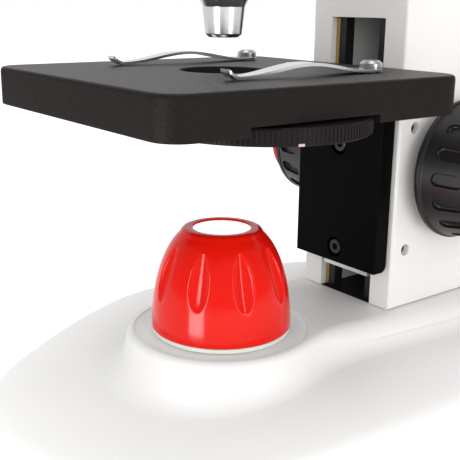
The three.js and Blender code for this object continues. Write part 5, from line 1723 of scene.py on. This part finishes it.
@dataclass
class Stage:
    """The stage on its bracket, with the aperture disc, the slide clips and the screws."""

    datum: Datum
    half_width: float = 50.25
    front: float = -53.2
    back: float = 52.8
    bottom: float = 113.05
    plate: float = 3.0
    skirt: float = 2.0
    corner: float = 8.0
    aperture: float = 13.0
    notch: tuple = (-29.2, 16.1, 2.45)
    bracket_half: float = 20.1
    bracket_front: float = 51.1
    bracket_thick: float = 6.0
    bracket_bottom: float = 53.7
    leg: float = 20.0
    leg_thick: float = 5.0
    screw_heights: tuple = (59.2, 97.0)
    screw_x: float = 14.0
    screw_y: float = 42.0
    disc_at: tuple = (22.5, -3.5)
    disc_radius: float = 32.0
    disc_low: float = 109.7
    disc_thick: float = 4.8
    disc_holes: tuple = (5.5, 4.4, 3.2, 2.2, 1.2)
    pale_tick_angle: float = math.radians(-20.3)
    rib_count: int = 150
    clip_at: tuple = (30.0, 33.0)
    clip_length: float = 52.0
    clip_width: float = 7.0
    clip_thick: float = 0.9
    clip_bow: float = 3.2

    def plate_shape(self) -> Shape:
        """Raises the stage, hollows its underside, and cuts the aperture, notch and screw seats."""
        top, under = self.datum.stage_top, self.datum.stage_top - self.plate
        half = self.half_width
        inner = half - self.skirt
        body = Shape.slab(
            rectangle(-half, half, self.front, self.back, self.corner), self.bottom, top, 0.6, 1.4
        )
        hollow = Shape.slab(
            rectangle(-inner, inner, self.front + self.skirt, self.back - self.skirt,
                      self.corner - self.skirt),
            self.bottom - 1, under, 0, 0.8,
        )
        boss = Shape.rod(5, self.disc_low + self.disc_thick + GAP, under + 1)
        hole = Shape.turned(
            [
                (0, under - 1), (self.aperture, under - 1), (self.aperture, top - 0.5),
                (self.aperture + 0.6, top + 0.1), (self.aperture + 0.6, top + 1), (0, top + 1),
            ],
            128,
        )
        low, high, rise = self.notch
        notch = Shape.box(
            (inner - 1, low, self.bottom - 1), (half + 1, high, self.bottom + rise), 0.3
        )
        leg = self.bracket_half + GAP
        gate = Shape.box(
            (-leg, self.bracket_front - 1.3, self.bottom - 1), (leg, self.back + 1, under)
        )
        seat = Shape.turned([(0, under - 1), (1.9, under - 1), (1.9, top - 2.3), (3.9, top - 0.3),
                             (4.05, top + 0.1), (4.05, top + 1), (0, top + 1)], 48)
        post = Shape.rod(1.9, under - 1, top + 1, 40)
        pivot = Shape.rod(2, self.disc_low, under + 1.2, 32)
        x, y = self.disc_at
        made = body.minus(hollow).plus(boss.placed(at(x, y, 0)))
        return made.minus(
            hole, notch, gate, pivot.placed(at(x, y, 0)),
            *(seat.placed(at(side * self.screw_x, self.screw_y, 0)) for side in (-1, 1)),
            *(post.placed(at(side * self.clip_at[0], self.clip_at[1], 0)) for side in (-1, 1)),
        )

    def bracket_shape(self) -> Shape:
        """Draws the bracket from the side, and cuts the counterbores and the leg's holes."""
        top = self.datum.stage_top - self.plate - GAP
        back = self.bracket_front + self.bracket_thick
        front = self.bracket_front
        outline = [
            (front, self.bracket_bottom), (back, self.bracket_bottom, 2.5), (back, top),
            (front - self.leg, top), (front - self.leg, top - self.leg_thick),
            (front, top - self.leg_thick, 1.2),
        ]
        body = Shape.side_slab(outline, self.bracket_half, 0.4, 2)
        lay = Matrix.Rotation(-math.pi / 2, 4, "X")
        head = Shape.turned(
            [(0, -1), (4.0, -1), (4.0, -0.1), (3.6, 0.35), (3.6, 3.4), (0, 3.4)], 48
        )
        shank = Shape.rod(1.8, 2, 12, 32)
        hole = Shape.rod(1.9, top - 7, top + 1, 32)
        tools = [
            tool.placed(lay, at(0, front, z)) for z in self.screw_heights for tool in (head, shank)
        ]
        tools += [hole.placed(at(side * self.screw_x, self.screw_y, 0)) for side in (-1, 1)]
        return body.minus(*tools)

    def disc_shape(self) -> Shape:
        """Turns the aperture disc and drills its ring of openings."""
        low, top, radius = self.disc_low, self.disc_low + self.disc_thick, self.disc_radius - 0.35
        body = Shape.turned(
            [
                (2.3, low + 0.8), (6, low + 0.8, 0.3), (6, top - 2.4),
                (radius - 2.65, top - 2.4, 0.4), (radius - 2.65, low, 0.3), (radius, low, 0.4),
                (radius, top, 0.5), (2.3, top),
            ],
            160,
        )
        x, y = self.disc_at
        circle, start = math.hypot(x, y), math.atan2(-y, -x)
        drills = []
        for k, size in enumerate(self.disc_holes):
            angle = start + 2 * math.pi * k / len(self.disc_holes)
            drill = Shape.turned([(0, low - 1), (size + 0.5, low + 1.2), (size, top - 1.6),
                                  (size, top + 1), (0, top + 1)], 64)
            drills.append(drill.placed(at(circle * math.cos(angle), circle * math.sin(angle), 0)))
        return body.minus(*drills)

    def clip_shape(self) -> Shape:
        """Bends a spring clip that lies forward from its post, with a turned-up tip."""
        seat, width = self.datum.stage_top + GAP, self.clip_width / 2
        run = self.clip_length - 4
        line = [(width, 0.0)]
        line += [
            (-4 - t * run, self.clip_bow * math.sin(math.pi * t) ** 2 * (1 - 0.3 * t))
            for t in np.linspace(0, 1, 33)
        ]
        line += [(-self.clip_length - 1.4, 0.7), (-self.clip_length - 3, 2.0)]
        lower = [(y, seat + z) for y, z in line]
        upper = [(y, seat + z + self.clip_thick) for y, z in reversed(line)]
        strip = Shape.side_slab(lower + upper, width, 0.15, 1)
        shape = [(-2.0, -self.clip_length - 4, 1.9), (2.0, -self.clip_length - 4, 1.9),
                 (2.6, -self.clip_length + 8), (width, -8), (width, width, width * 0.98),
                 (-width, width, width * 0.98), (-width, -8), (-2.6, -self.clip_length + 8)]
        return strip.combined("INTERSECT", [Shape.slab(shape, seat - 1, seat + 12)])

    def build(self, shop: Workshop) -> None:
        """Publishes every piece that travels with the stage."""
        place = at(0, self.datum.axis_y, 0)
        top = self.datum.stage_top
        shop.publish("stage_table", self.plate_shape().placed(place), Look.STAGE_CRINKLE,
                     "stage", ["stage_plate"], 34)
        shop.publish("milled_bracket", self.bracket_shape().placed(place), Look.BRACKET_BLACK,
                     "stage", ["stage_bracket"], 28)
        self.build_screws(shop, place, top)
        self.build_disc(shop, place)
        self.build_clips(shop, place, top)
        shop.dress("slide_plate", Look.SLIDE_ALUMINIUM)
        shop.dress("focus_rack", Look.BRASS)
        shop.dress("diaphragm_pivot", Look.BLACK_STEEL)

    def build_screws(self, shop: Workshop, place: Matrix, top: float) -> None:
        """Publishes the bracket's socket screws and the stage's countersunk screws."""
        lay = Matrix.Rotation(-math.pi / 2, 4, "X")
        socket = Shape.slab(hexagon(1.45), -1, 1.9)
        screw = Shape.turned(
            [(0, 0.4), (2.75, 0.4, 0.3), (2.75, 3.1), (1.5, 3.1), (1.5, 9, 0.3), (0, 9)], 64
        ).minus(socket)
        for k, z in enumerate(self.screw_heights):
            shop.publish(
                f"socket_screw_{k + 1}", screw.placed(lay, at(0, self.bracket_front, z), place),
                Look.BLACK_STEEL, "stage", [f"bracket_screw_{k + 1}"],
            )
        low = top - self.plate - 5.3
        flat = Shape.turned(
            [
                (0, low), (1.6, low), (1.6, top - 2.2), (3.6, top - 0.2), (3.6, top - 0.1),
                (0, top - 0.1),
            ],
            64,
        ).minus(Shape.box((-4, -0.45, top - 0.9), (4, 0.45, top + 1)))
        for side, label in ((-1, "left"), (1, "right")):
            spot = at(side * self.screw_x, self.screw_y, 0)
            shop.publish(f"countersunk_screw_{label}", flat.placed(spot, place), Look.STEEL,
                         "stage", [f"stage_screw_{label}"])

    def build_disc(self, shop: Workshop, place: Matrix) -> None:
        """Publishes the disc, the ribs of its rim, and a small pale raised tick on its rim."""
        spot = at(*self.disc_at, 0)
        shop.publish("aperture_disc", self.disc_shape().placed(spot, place), Look.DISC_BLACK,
                     "diaphragm", ["diaphragm_disc"])
        ribs = shop.ribs(
            self.rib_count, self.disc_radius - 0.42, (0.8, 0.74, self.disc_thick - 1.0),
            self.disc_low + 0.45, Look.DISC_BLACK, 0.26,
        )
        shop.publish("disc_rim_ribs", ribs.placed(spot, place), Look.DISC_BLACK, "diaphragm")
        # A small pale pinkish raised tick on the disc's lower rim edge.
        tick = Shape.box((self.disc_radius - 0.5, -0.85, self.disc_low + 0.15),
                         (self.disc_radius + 0.15, 0.85, self.disc_low + 0.85), 0.1, 0.2)
        turned = Matrix.Rotation(self.pale_tick_angle, 4, "Z")
        shop.publish("disc_index", tick.placed(turned, spot, place), Look.PALE_MARK, "diaphragm")

    def build_clips(self, shop: Workshop, place: Matrix, top: float) -> None:
        """Publishes the two spring clips with their posts."""
        strap = top + GAP + self.clip_thick
        post = Shape.turned(
            [(0, top - 10), (1.6, top - 10, 0.3), (1.6, strap - 0.4), (3.4, strap - 0.2, 0.1),
             (3.4, strap + 1.6, 0.5), (2.3, strap + 2.5, 0.5), (0, strap + 2.5)], 64)
        clip = self.clip_shape()
        for side, label in ((-1, "left"), (1, "right")):
            spot = at(side * self.clip_at[0], self.clip_at[1], 0)
            shop.publish(f"spring_clip_{label}", clip.placed(spot, place), Look.CLIP_STEEL,
                         f"clip_{label}", [f"stage_clip_{label}"])
            shop.publish(
                f"clip_post_{label}", post.placed(spot, place), Look.STEEL, f"clip_{label}"
            )


# ---- nosepiece


@dataclass
class Nosepiece:
    """The tilted turret under the arm's reach, with its three objectives."""

    datum: Datum
    tilt: float = math.radians(16)
    hole_circle: float = 17.0
    radius: float = 25.5
    thickness: float = 7.5
    shoulder: float = 179.0
    reach_bottom: float = 196.0
    screw_flat: float = 7.0
    names: tuple = ("high", "medium", "low")
    lengths: tuple = (44.4, 35.0, 27.0)
    tips: tuple = (4.4, 6.0, 7.6)
    bands: tuple = (Look.BAND_BLUE, Look.BAND_YELLOW, Look.BAND_RED)
    barrel: float = 10.5

    def objective(self, k: int) -> Shape:
        """Turns an objective about the optical axis, from its thread down to its front lens."""
        length, tip, bore, wide = self.lengths[k], self.tips[k], 3.0 + k, self.barrel

        def level(drop: float) -> float:
            """Returns the height at a distance below the shoulder."""
            return self.shoulder - GAP - drop

        return Shape.turned(
            [
                (bore, level(-4.5)), (9.2, level(-4.5), 0.4), (9.2, level(0)),
                (wide + 0.6, level(0), 0.4), (wide + 0.6, level(5), 0.5),
                (wide - 0.9, level(5.5), 0.3), (wide - 0.9, level(7.0), 0.3),
                (wide - 0.4, level(7.2), 0.3), (wide - 0.4, level(length * 0.62), 0.8),
                (tip + 2, level(length * 0.8), 0.8), (tip + 1.2, level(length - 1), 0.5),
                (tip, level(length), 0.3), (bore - 0.6, level(length), 0.3),
                (bore - 1, level(length - 0.8)), (bore, level(length - 2)),
            ],
            128,
        )

    def build(self, shop: Workshop) -> None:
        """Publishes the base, the ribbed turret, its screw, and the objectives with their bands."""
        place = at(0, self.datum.axis_y, 0)
        rise = self.hole_circle / math.sin(self.tilt)
        apex = self.shoulder + rise
        lean = (Matrix.Rotation(-self.tilt, 4, "X"), at(0, 0, apex), place)
        low = -rise * math.cos(self.tilt)
        high = low + self.thickness
        slope = math.tan(self.tilt)
        shop.dress("nosepiece_base", Look.SATIN_BLACK)

        def face(radius: float) -> float:
            """Returns the height of the turret's conical lower face."""
            return low + (radius - self.hole_circle) * slope

        rim = self.radius - 0.4
        body = Shape.turned(
            [(0, face(self.screw_flat)), (self.screw_flat, face(self.screw_flat)),
             (rim - 0.8, face(rim - 0.8), 0.4), (rim, face(rim) + 0.9, 0.3), (rim, high - 1, 0.4),
             (rim - 1, high, 0.4), (0, high)], 160)
        thread = Shape.rod(9.5, self.shoulder - 4, self.shoulder + 12, 64)
        stations = [
            (
                at(0, 0, -apex), Matrix.Rotation(self.tilt, 4, "X"),
                Matrix.Rotation(2 * math.pi * k / 3, 4, "Z"),
            )
            for k in range(3)
        ]
        bore = Shape.rod(2.8, low - 6, high + 1, 40)
        body = body.minus(bore, *(thread.placed(*moves) for moves in stations))
        shop.publish("ribbed_turret", body.placed(*lean), Look.SATIN_BLACK, "nosepiece", ["turret"])
        height = face(rim) + 1.5
        ribs = shop.ribs(90, rim, (0.8, 0.9, high - 1.6 - height), height, Look.SATIN_BLACK, 0.3)
        shop.publish("turret_ribs", ribs.placed(*lean), Look.SATIN_BLACK, "nosepiece")
        seat = face(self.screw_flat) - GAP
        screw = Shape.turned(
            [
                (0, seat - 2.5), (4.2, seat - 2.5, 0.3), (5, seat - 1.8, 0.3), (5, seat),
                (2.5, seat), (2.5, high + 3.6), (0, high + 3.6),
            ],
            64,
        )
        screw = screw.minus(Shape.box((-6, -0.5, seat - 3), (6, 0.5, seat - 1.6)))
        shop.publish(
            "turret_centre_screw", screw.placed(*lean), Look.STEEL, "stand", ["turret_screw"]
        )
        for k, name in enumerate(self.names):
            self.build_objective(shop, k, name, (*stations[k], *lean))

    def build_objective(self, shop: Workshop, k: int, name: str, moves: Sequence[Matrix]) -> None:
        """Publishes one objective: its barrel, grip ribs, coloured band and front lens."""
        top = self.shoulder - GAP
        shop.publish(f"{name}_objective", self.objective(k).placed(*moves), Look.OBJECTIVE_CHROME,
                     "nosepiece", [f"objective_{name}"])
        grip = shop.ribs(
            72, self.barrel + 0.62, (0.5, 0.5, 3.6), top - 4.3, Look.OBJECTIVE_CHROME, 0.18
        )
        shop.publish(
            f"{name}_objective_grip", grip.placed(*moves), Look.OBJECTIVE_CHROME, "nosepiece"
        )
        radius, at_height = self.barrel - 0.4, top - self.lengths[k] * 0.5
        band = Shape.turned(
            [
                (radius - 0.2, at_height), (radius + 0.06, at_height),
                (radius + 0.06, at_height + 1.6), (radius - 0.2, at_height + 1.6),
            ],
            96,
        )
        shop.publish(f"{name}_objective_band", band.placed(*moves), self.bands[k], "nosepiece")
        tip, bore = top - self.lengths[k], 3.0 + k
        lens = Shape.turned(
            [(0, tip + 0.9), (bore - 1.1, tip + 1.1), (bore - 0.4, tip + 1.9), (0, tip + 1.9)], 64
        )
        shop.publish(f"{name}_front_lens", lens.placed(*moves), Look.CLEAR_GLASS, "nosepiece")


# ---- head


@dataclass
class Head:
    """The turning head with its prism, the inclined tube and the eyepiece."""

    datum: Datum
    half_width: float = 21.0
    seat: float = 216.3
    neck_radius: float = 16.0
    neck_low: float = 205.0
    groove: tuple = (207.7, 212.3, 14.5)
    prism: float = 238.0
    tilt: float = math.radians(45)
    tube_start: float = 28.0
    tube_length: float = 62.0
    tube_radius: float = 15.0
    tube_bore: float = 11.75
    eye_radius: float = 16.0
    eye_head: float = 27.0
    eye_shank: float = 48.0
    light_bore: float = 8.0

    def outline(self) -> list[Sequence[float]]:
        """Draws the head from the side, with a bowed front and a face square to the tube."""
        sine, cosine = math.sin(self.tilt), math.cos(self.tilt)
        middle = (self.tube_start * sine, self.prism + self.tube_start * cosine)
        reach = self.tube_radius + 3
        upper = (middle[0] - reach * cosine, middle[1] + reach * sine)
        lower = (middle[0] + reach * cosine, middle[1] - reach * sine)
        bend = (24, lower[1] - 18)
        path = [(-22, self.seat), (22, self.seat)]
        path += self.curve((22, self.seat), bend, lower)[1:]
        path += [(*lower, 3.5), (*upper, 5.0)]
        path += self.curve(upper, (-22, upper[1] - 4), (-22, self.prism))[1:]
        return path

    @staticmethod
    def curve(start: Point2, bend: Point2, end: Point2, steps: int = 14) -> list[Point2]:
        """Samples a quadratic curve from start, without its end."""
        return [
            tuple(
                (1 - t) ** 2 * start[i] + 2 * t * (1 - t) * bend[i] + t * t * end[i] for i in (0, 1)
            )
            for t in np.arange(steps) / steps
        ]

    def casting(self) -> Shape:
        """Joins the head and its neck, and cuts the prism's chamber, the bores and the groove."""
        body = Shape.side_slab(self.outline(), self.half_width, 2.4, 5)
        neck = Shape.turned([(0, self.neck_low), (self.neck_radius, self.neck_low, 0.5),
                             (self.neck_radius, self.seat + 1), (0, self.seat + 1)], 128)
        chamber = Shape.box((-10.3, -12, self.prism - 12), (10.3, 12, self.prism + 12))
        light = Shape.rod(self.light_bore, self.neck_low - 1, self.prism, 64)
        bore = Shape.rod(self.tube_bore - 1.5, 0, self.tube_start + 1, 64)
        low, high, floor = self.groove
        groove = Shape.turned([(floor, low), (self.neck_radius + 1, low),
                               (self.neck_radius + 1, high), (floor, high)], 128)
        return body.plus(neck).minus(chamber, light, bore.placed(*self.on_tube()), groove)

    def on_tube(self) -> tuple[Matrix, Matrix]:
        """Returns the moves that put a piece made about Z on the inclined tube."""
        return Matrix.Rotation(-self.tilt, 4, "X"), at(0, 0, self.prism)

    def build(self, shop: Workshop) -> None:
        """Publishes the head, the prism, the tube, the eyepiece and its lens."""
        place = at(0, self.datum.axis_y, 0)
        shop.publish(
            "cast_head", self.casting().placed(place), Look.ARM_PAINT, "head", ["head_body"], 30
        )
        prism = Shape.side_slab([(-10.5, self.prism - 11.7, 0.2), (10.5, self.prism - 11.7, 0.2),
                                 (-10.5, self.prism + 9, 0.2)], 10, 0.2, 1)
        shop.publish("turning_prism", prism.placed(place), Look.CLEAR_GLASS, "head", ["head_prism"])
        start, end = self.tube_start + GAP, self.tube_start + self.tube_length
        bore, radius = self.tube_bore, self.tube_radius
        tube = Shape.turned(
            [
                (bore, start), (radius + 1.5, start, 0.3), (radius + 1.5, start + 3, 0.5),
                (radius, start + 4.5, 0.4), (radius, end - 1, 0.6), (radius - 1, end, 0.3),
                (bore, end),
            ],
            128,
        )
        moves = (*self.on_tube(), place)
        shop.publish(
            "inclined_tube", tube.placed(*moves), Look.ARM_PAINT, "head", ["eyepiece_tube"]
        )
        self.build_eyepiece(shop, moves, end + GAP)

    def build_eyepiece(self, shop: Workshop, moves: Sequence[Matrix], seat: float) -> None:
        """Publishes the eyepiece with its grip and its eye lens."""
        shank, top, radius = self.tube_bore - GAP, seat + self.eye_head, self.eye_radius - 0.4
        low = seat - self.eye_shank
        body = Shape.turned(
            [(shank - 2, low), (shank, low, 0.3), (shank, seat), (radius - 0.8, seat, 0.3),
             (radius, seat + 0.8, 0.3), (radius, seat + 3, 0.3), (radius - 0.6, seat + 3.4, 0.2),
             (radius - 0.6, top - 10, 0.2), (radius, top - 9.4, 0.5), (radius - 1.6, top - 2, 1.2),
             (radius - 2.8, top, 0.8), (11.6, top, 0.4), (9.8, top - 4, 0.5), (9.8, top - 8),
             (shank - 2, top - 8)], 128)
        shop.publish(
            "capped_eyepiece", body.placed(*moves), Look.SATIN_BLACK, "ocular", ["eyepiece"]
        )
        ribs = shop.ribs(
            64, radius - 0.5, (0.7, 0.8, self.eye_head - 14.2), seat + 3.8, Look.SATIN_BLACK, 0.25
        )
        shop.publish("eyepiece_grip", ribs.placed(*moves), Look.SATIN_BLACK, "ocular")
        bowl = [
            (9.5 - 9.5 * math.sin(a), top - 5 + 1.2 * math.sin(a) ** 2)
            for a in np.linspace(0, 1.57, 12)
        ]
        under = [(9.5 * t, top - 8.2 + 0.8 * t * t) for t in np.linspace(0, 1, 8)]
        lens = Shape.turned([*under, *bowl[:-1], (0, top - 3.8)], 96)
        shop.publish(
            "domed_eye_lens", lens.placed(*moves), Look.CLEAR_GLASS, "ocular", ["eye_lens"]
        )


# ---- studio


class Seen(Enum):
    """Which surfaces a light works on."""

    BOTH = "both"
    MATT = "matt"
    GLOSS = "gloss"


@dataclass
class Studio:
    """A pale floor, soft lights and the camera."""

    datum: Datum
    eye: tuple = (0.20133, -0.17012, 0.14457)
    right: tuple = (0.60614652, 0.79527803, 0.01092062)
    down: tuple = (0.22173447, -0.15578398, -0.96258256)
    forward: tuple = (-0.7638195, 0.58588754, -0.27076846)
    lens: float = 63.45
    floor_tone: float = 0.9
    floor_lift: float = 0.30
    floor_half: float = 6.0
    ambient: float = 0.9

    def place_camera(self) -> None:
        """Makes the camera and hands it to the scene."""
        data = bpy.data.cameras.new("camera")
        data.lens, data.sensor_width = self.lens, 36.0
        data.clip_start, data.clip_end = 0.005, 20.0
        camera = linked("camera", data)
        axes = [Vector(self.right), -Vector(self.down), -Vector(self.forward)]
        turn = Matrix([a.normalized() for a in axes]).transposed().to_4x4()
        camera.matrix_world = Matrix.Translation(self.eye) @ turn
        bpy.context.scene.camera = camera

    def lay_floor(self) -> None:
        """Lays a wide pale floor, a little brighter to the camera alone."""
        mesh = bpy.data.meshes.new("floor")
        half = self.floor_half
        mesh.from_pydata([(-half, -half, 0), (half, -half, 0), (half, half, 0), (-half, half, 0)],
                         [], [(0, 1, 2, 3)])
        floor = linked("floor", mesh)
        material = bpy.data.materials.new("floor_paper")
        material.use_nodes = True
        material.node_tree.nodes.clear()
        sketch = Sketch(material.node_tree)
        tone = self.floor_tone
        paper = sketch.node("ShaderNodeBsdfDiffuse", Color=(tone, tone, tone, 1)).outputs[0]
        lift = sketch.node(
            "ShaderNodeEmission", Color=(1, 1, 1, 1), Strength=self.floor_lift
        ).outputs[0]
        both = sketch.node("ShaderNodeAddShader", i0=paper, i1=lift).outputs[0]
        camera_ray = sketch.node("ShaderNodeLightPath").outputs["Is Camera Ray"]
        shown = sketch.node("ShaderNodeMixShader", i0=camera_ray, i1=paper, i2=both).outputs[0]
        sketch.node("ShaderNodeOutputMaterial", Surface=shown)
        mesh.materials.append(material)

    def fill_world(self) -> None:
        """Makes the surroundings white to look at and gentle as a light."""
        world = bpy.data.worlds.new("surroundings")
        bpy.context.scene.world = world
        world.use_nodes = True
        world.node_tree.nodes.clear()
        sketch = Sketch(world.node_tree)
        path = sketch.node("ShaderNodeLightPath").outputs
        seen = sketch.math(
            "MINIMUM", sketch.math("ADD", path["Is Camera Ray"], path["Is Transmission Ray"]), 1.0
        )
        direction = sketch.node("ShaderNodeTexCoord").outputs["Generated"]
        behind = sketch.node(
            "ShaderNodeVectorMath", {"operation": "DOT_PRODUCT"}, i0=direction, i1=self.forward
        ).outputs["Value"]
        rising = sketch.node(
            "ShaderNodeMapRange", Value=behind, From_Min=-0.3, From_Max=0.8, To_Min=0.3, To_Max=1.0
        ).outputs[0]
        darker = sketch.math(
            "MULTIPLY", path["Is Glossy Ray"], sketch.math("SUBTRACT", 1.0, rising)
        )
        strength = sketch.math("ADD", sketch.math("MULTIPLY", seen, 1 - self.ambient), self.ambient)
        glow = sketch.node(
            "ShaderNodeBackground", Color=(1, 1, 1, 1),
            Strength=sketch.math("SUBTRACT", strength, darker),
        ).outputs[0]
        sketch.node("ShaderNodeOutputWorld", Surface=glow)

    def hang_light(
        self, name: str, place: Sequence[float], aim: Sequence[float], size: Point2,
        radiance: float, seen_in: Seen = Seen.BOTH,
    ) -> None:
        """Hangs one soft rectangular light.

        Args:
            name: the light's name.
            place: its middle, in metres.
            aim: the point it faces, in metres.
            size: its width and height, in metres.
            radiance: how bright its face is.
            seen_in: whether it brightens matt surfaces, shows in glossy ones, or both.
        """
        data = bpy.data.lights.new(name, "AREA")
        data.shape = "RECTANGLE"
        data.size, data.size_y = size
        data.energy = radiance * size[0] * size[1] * math.pi
        light = linked(name, data)
        way = Vector(aim) - Vector(place)
        light.matrix_world = Matrix.Translation(place) @ way.to_track_quat(
            "-Z", "Y"
        ).to_matrix().to_4x4()
        light.visible_camera = False
        light.visible_diffuse = seen_in != Seen.GLOSS
        light.visible_glossy = seen_in != Seen.MATT

    def build(self) -> None:
        """Sets up everything that isn't the microscope."""
        bpy.context.scene.view_settings.view_transform = "Standard"
        self.place_camera()
        self.lay_floor()
        self.fill_world()
        axis = self.datum.axis_y * MM
        lamp = Vector((0.0, axis, 0.07))
        self.hang_light(
            "front_strip", (0.0425, axis - 0.146, 0.058), (0, axis, 0.058), (0.06, 0.11), 12.0,
            Seen.GLOSS,
        )
        self.hang_light(
            "side_strip", (0.42, axis + 0.05, 0.16), lamp, (0.06, 0.30), 10.0, Seen.GLOSS
        )
        self.hang_light("front_fill", (0.70, -0.34, 0.34), lamp, (0.9, 0.5), 1.5, Seen.MATT)
        self.hang_light("overhead", (0.15, -0.3, 3.0), lamp, (2.0, 2.0), 1.9)


# ---- main


def main() -> None:
    """Builds each sub-assembly in order."""
    logging.basicConfig(level=logging.INFO, format="%(name)s %(message)s")
    shop = Workshop(frame=frame)
    datum = Datum.from_frame()
    for assembly in (Base, Lamp, Arm, Drive, Stage, Nosepiece, Head):
        LOG.info("building %s", assembly.__name__)
        assembly(datum).build(shop)
    Studio(datum).build()


if __name__ == "__main__":
    main()
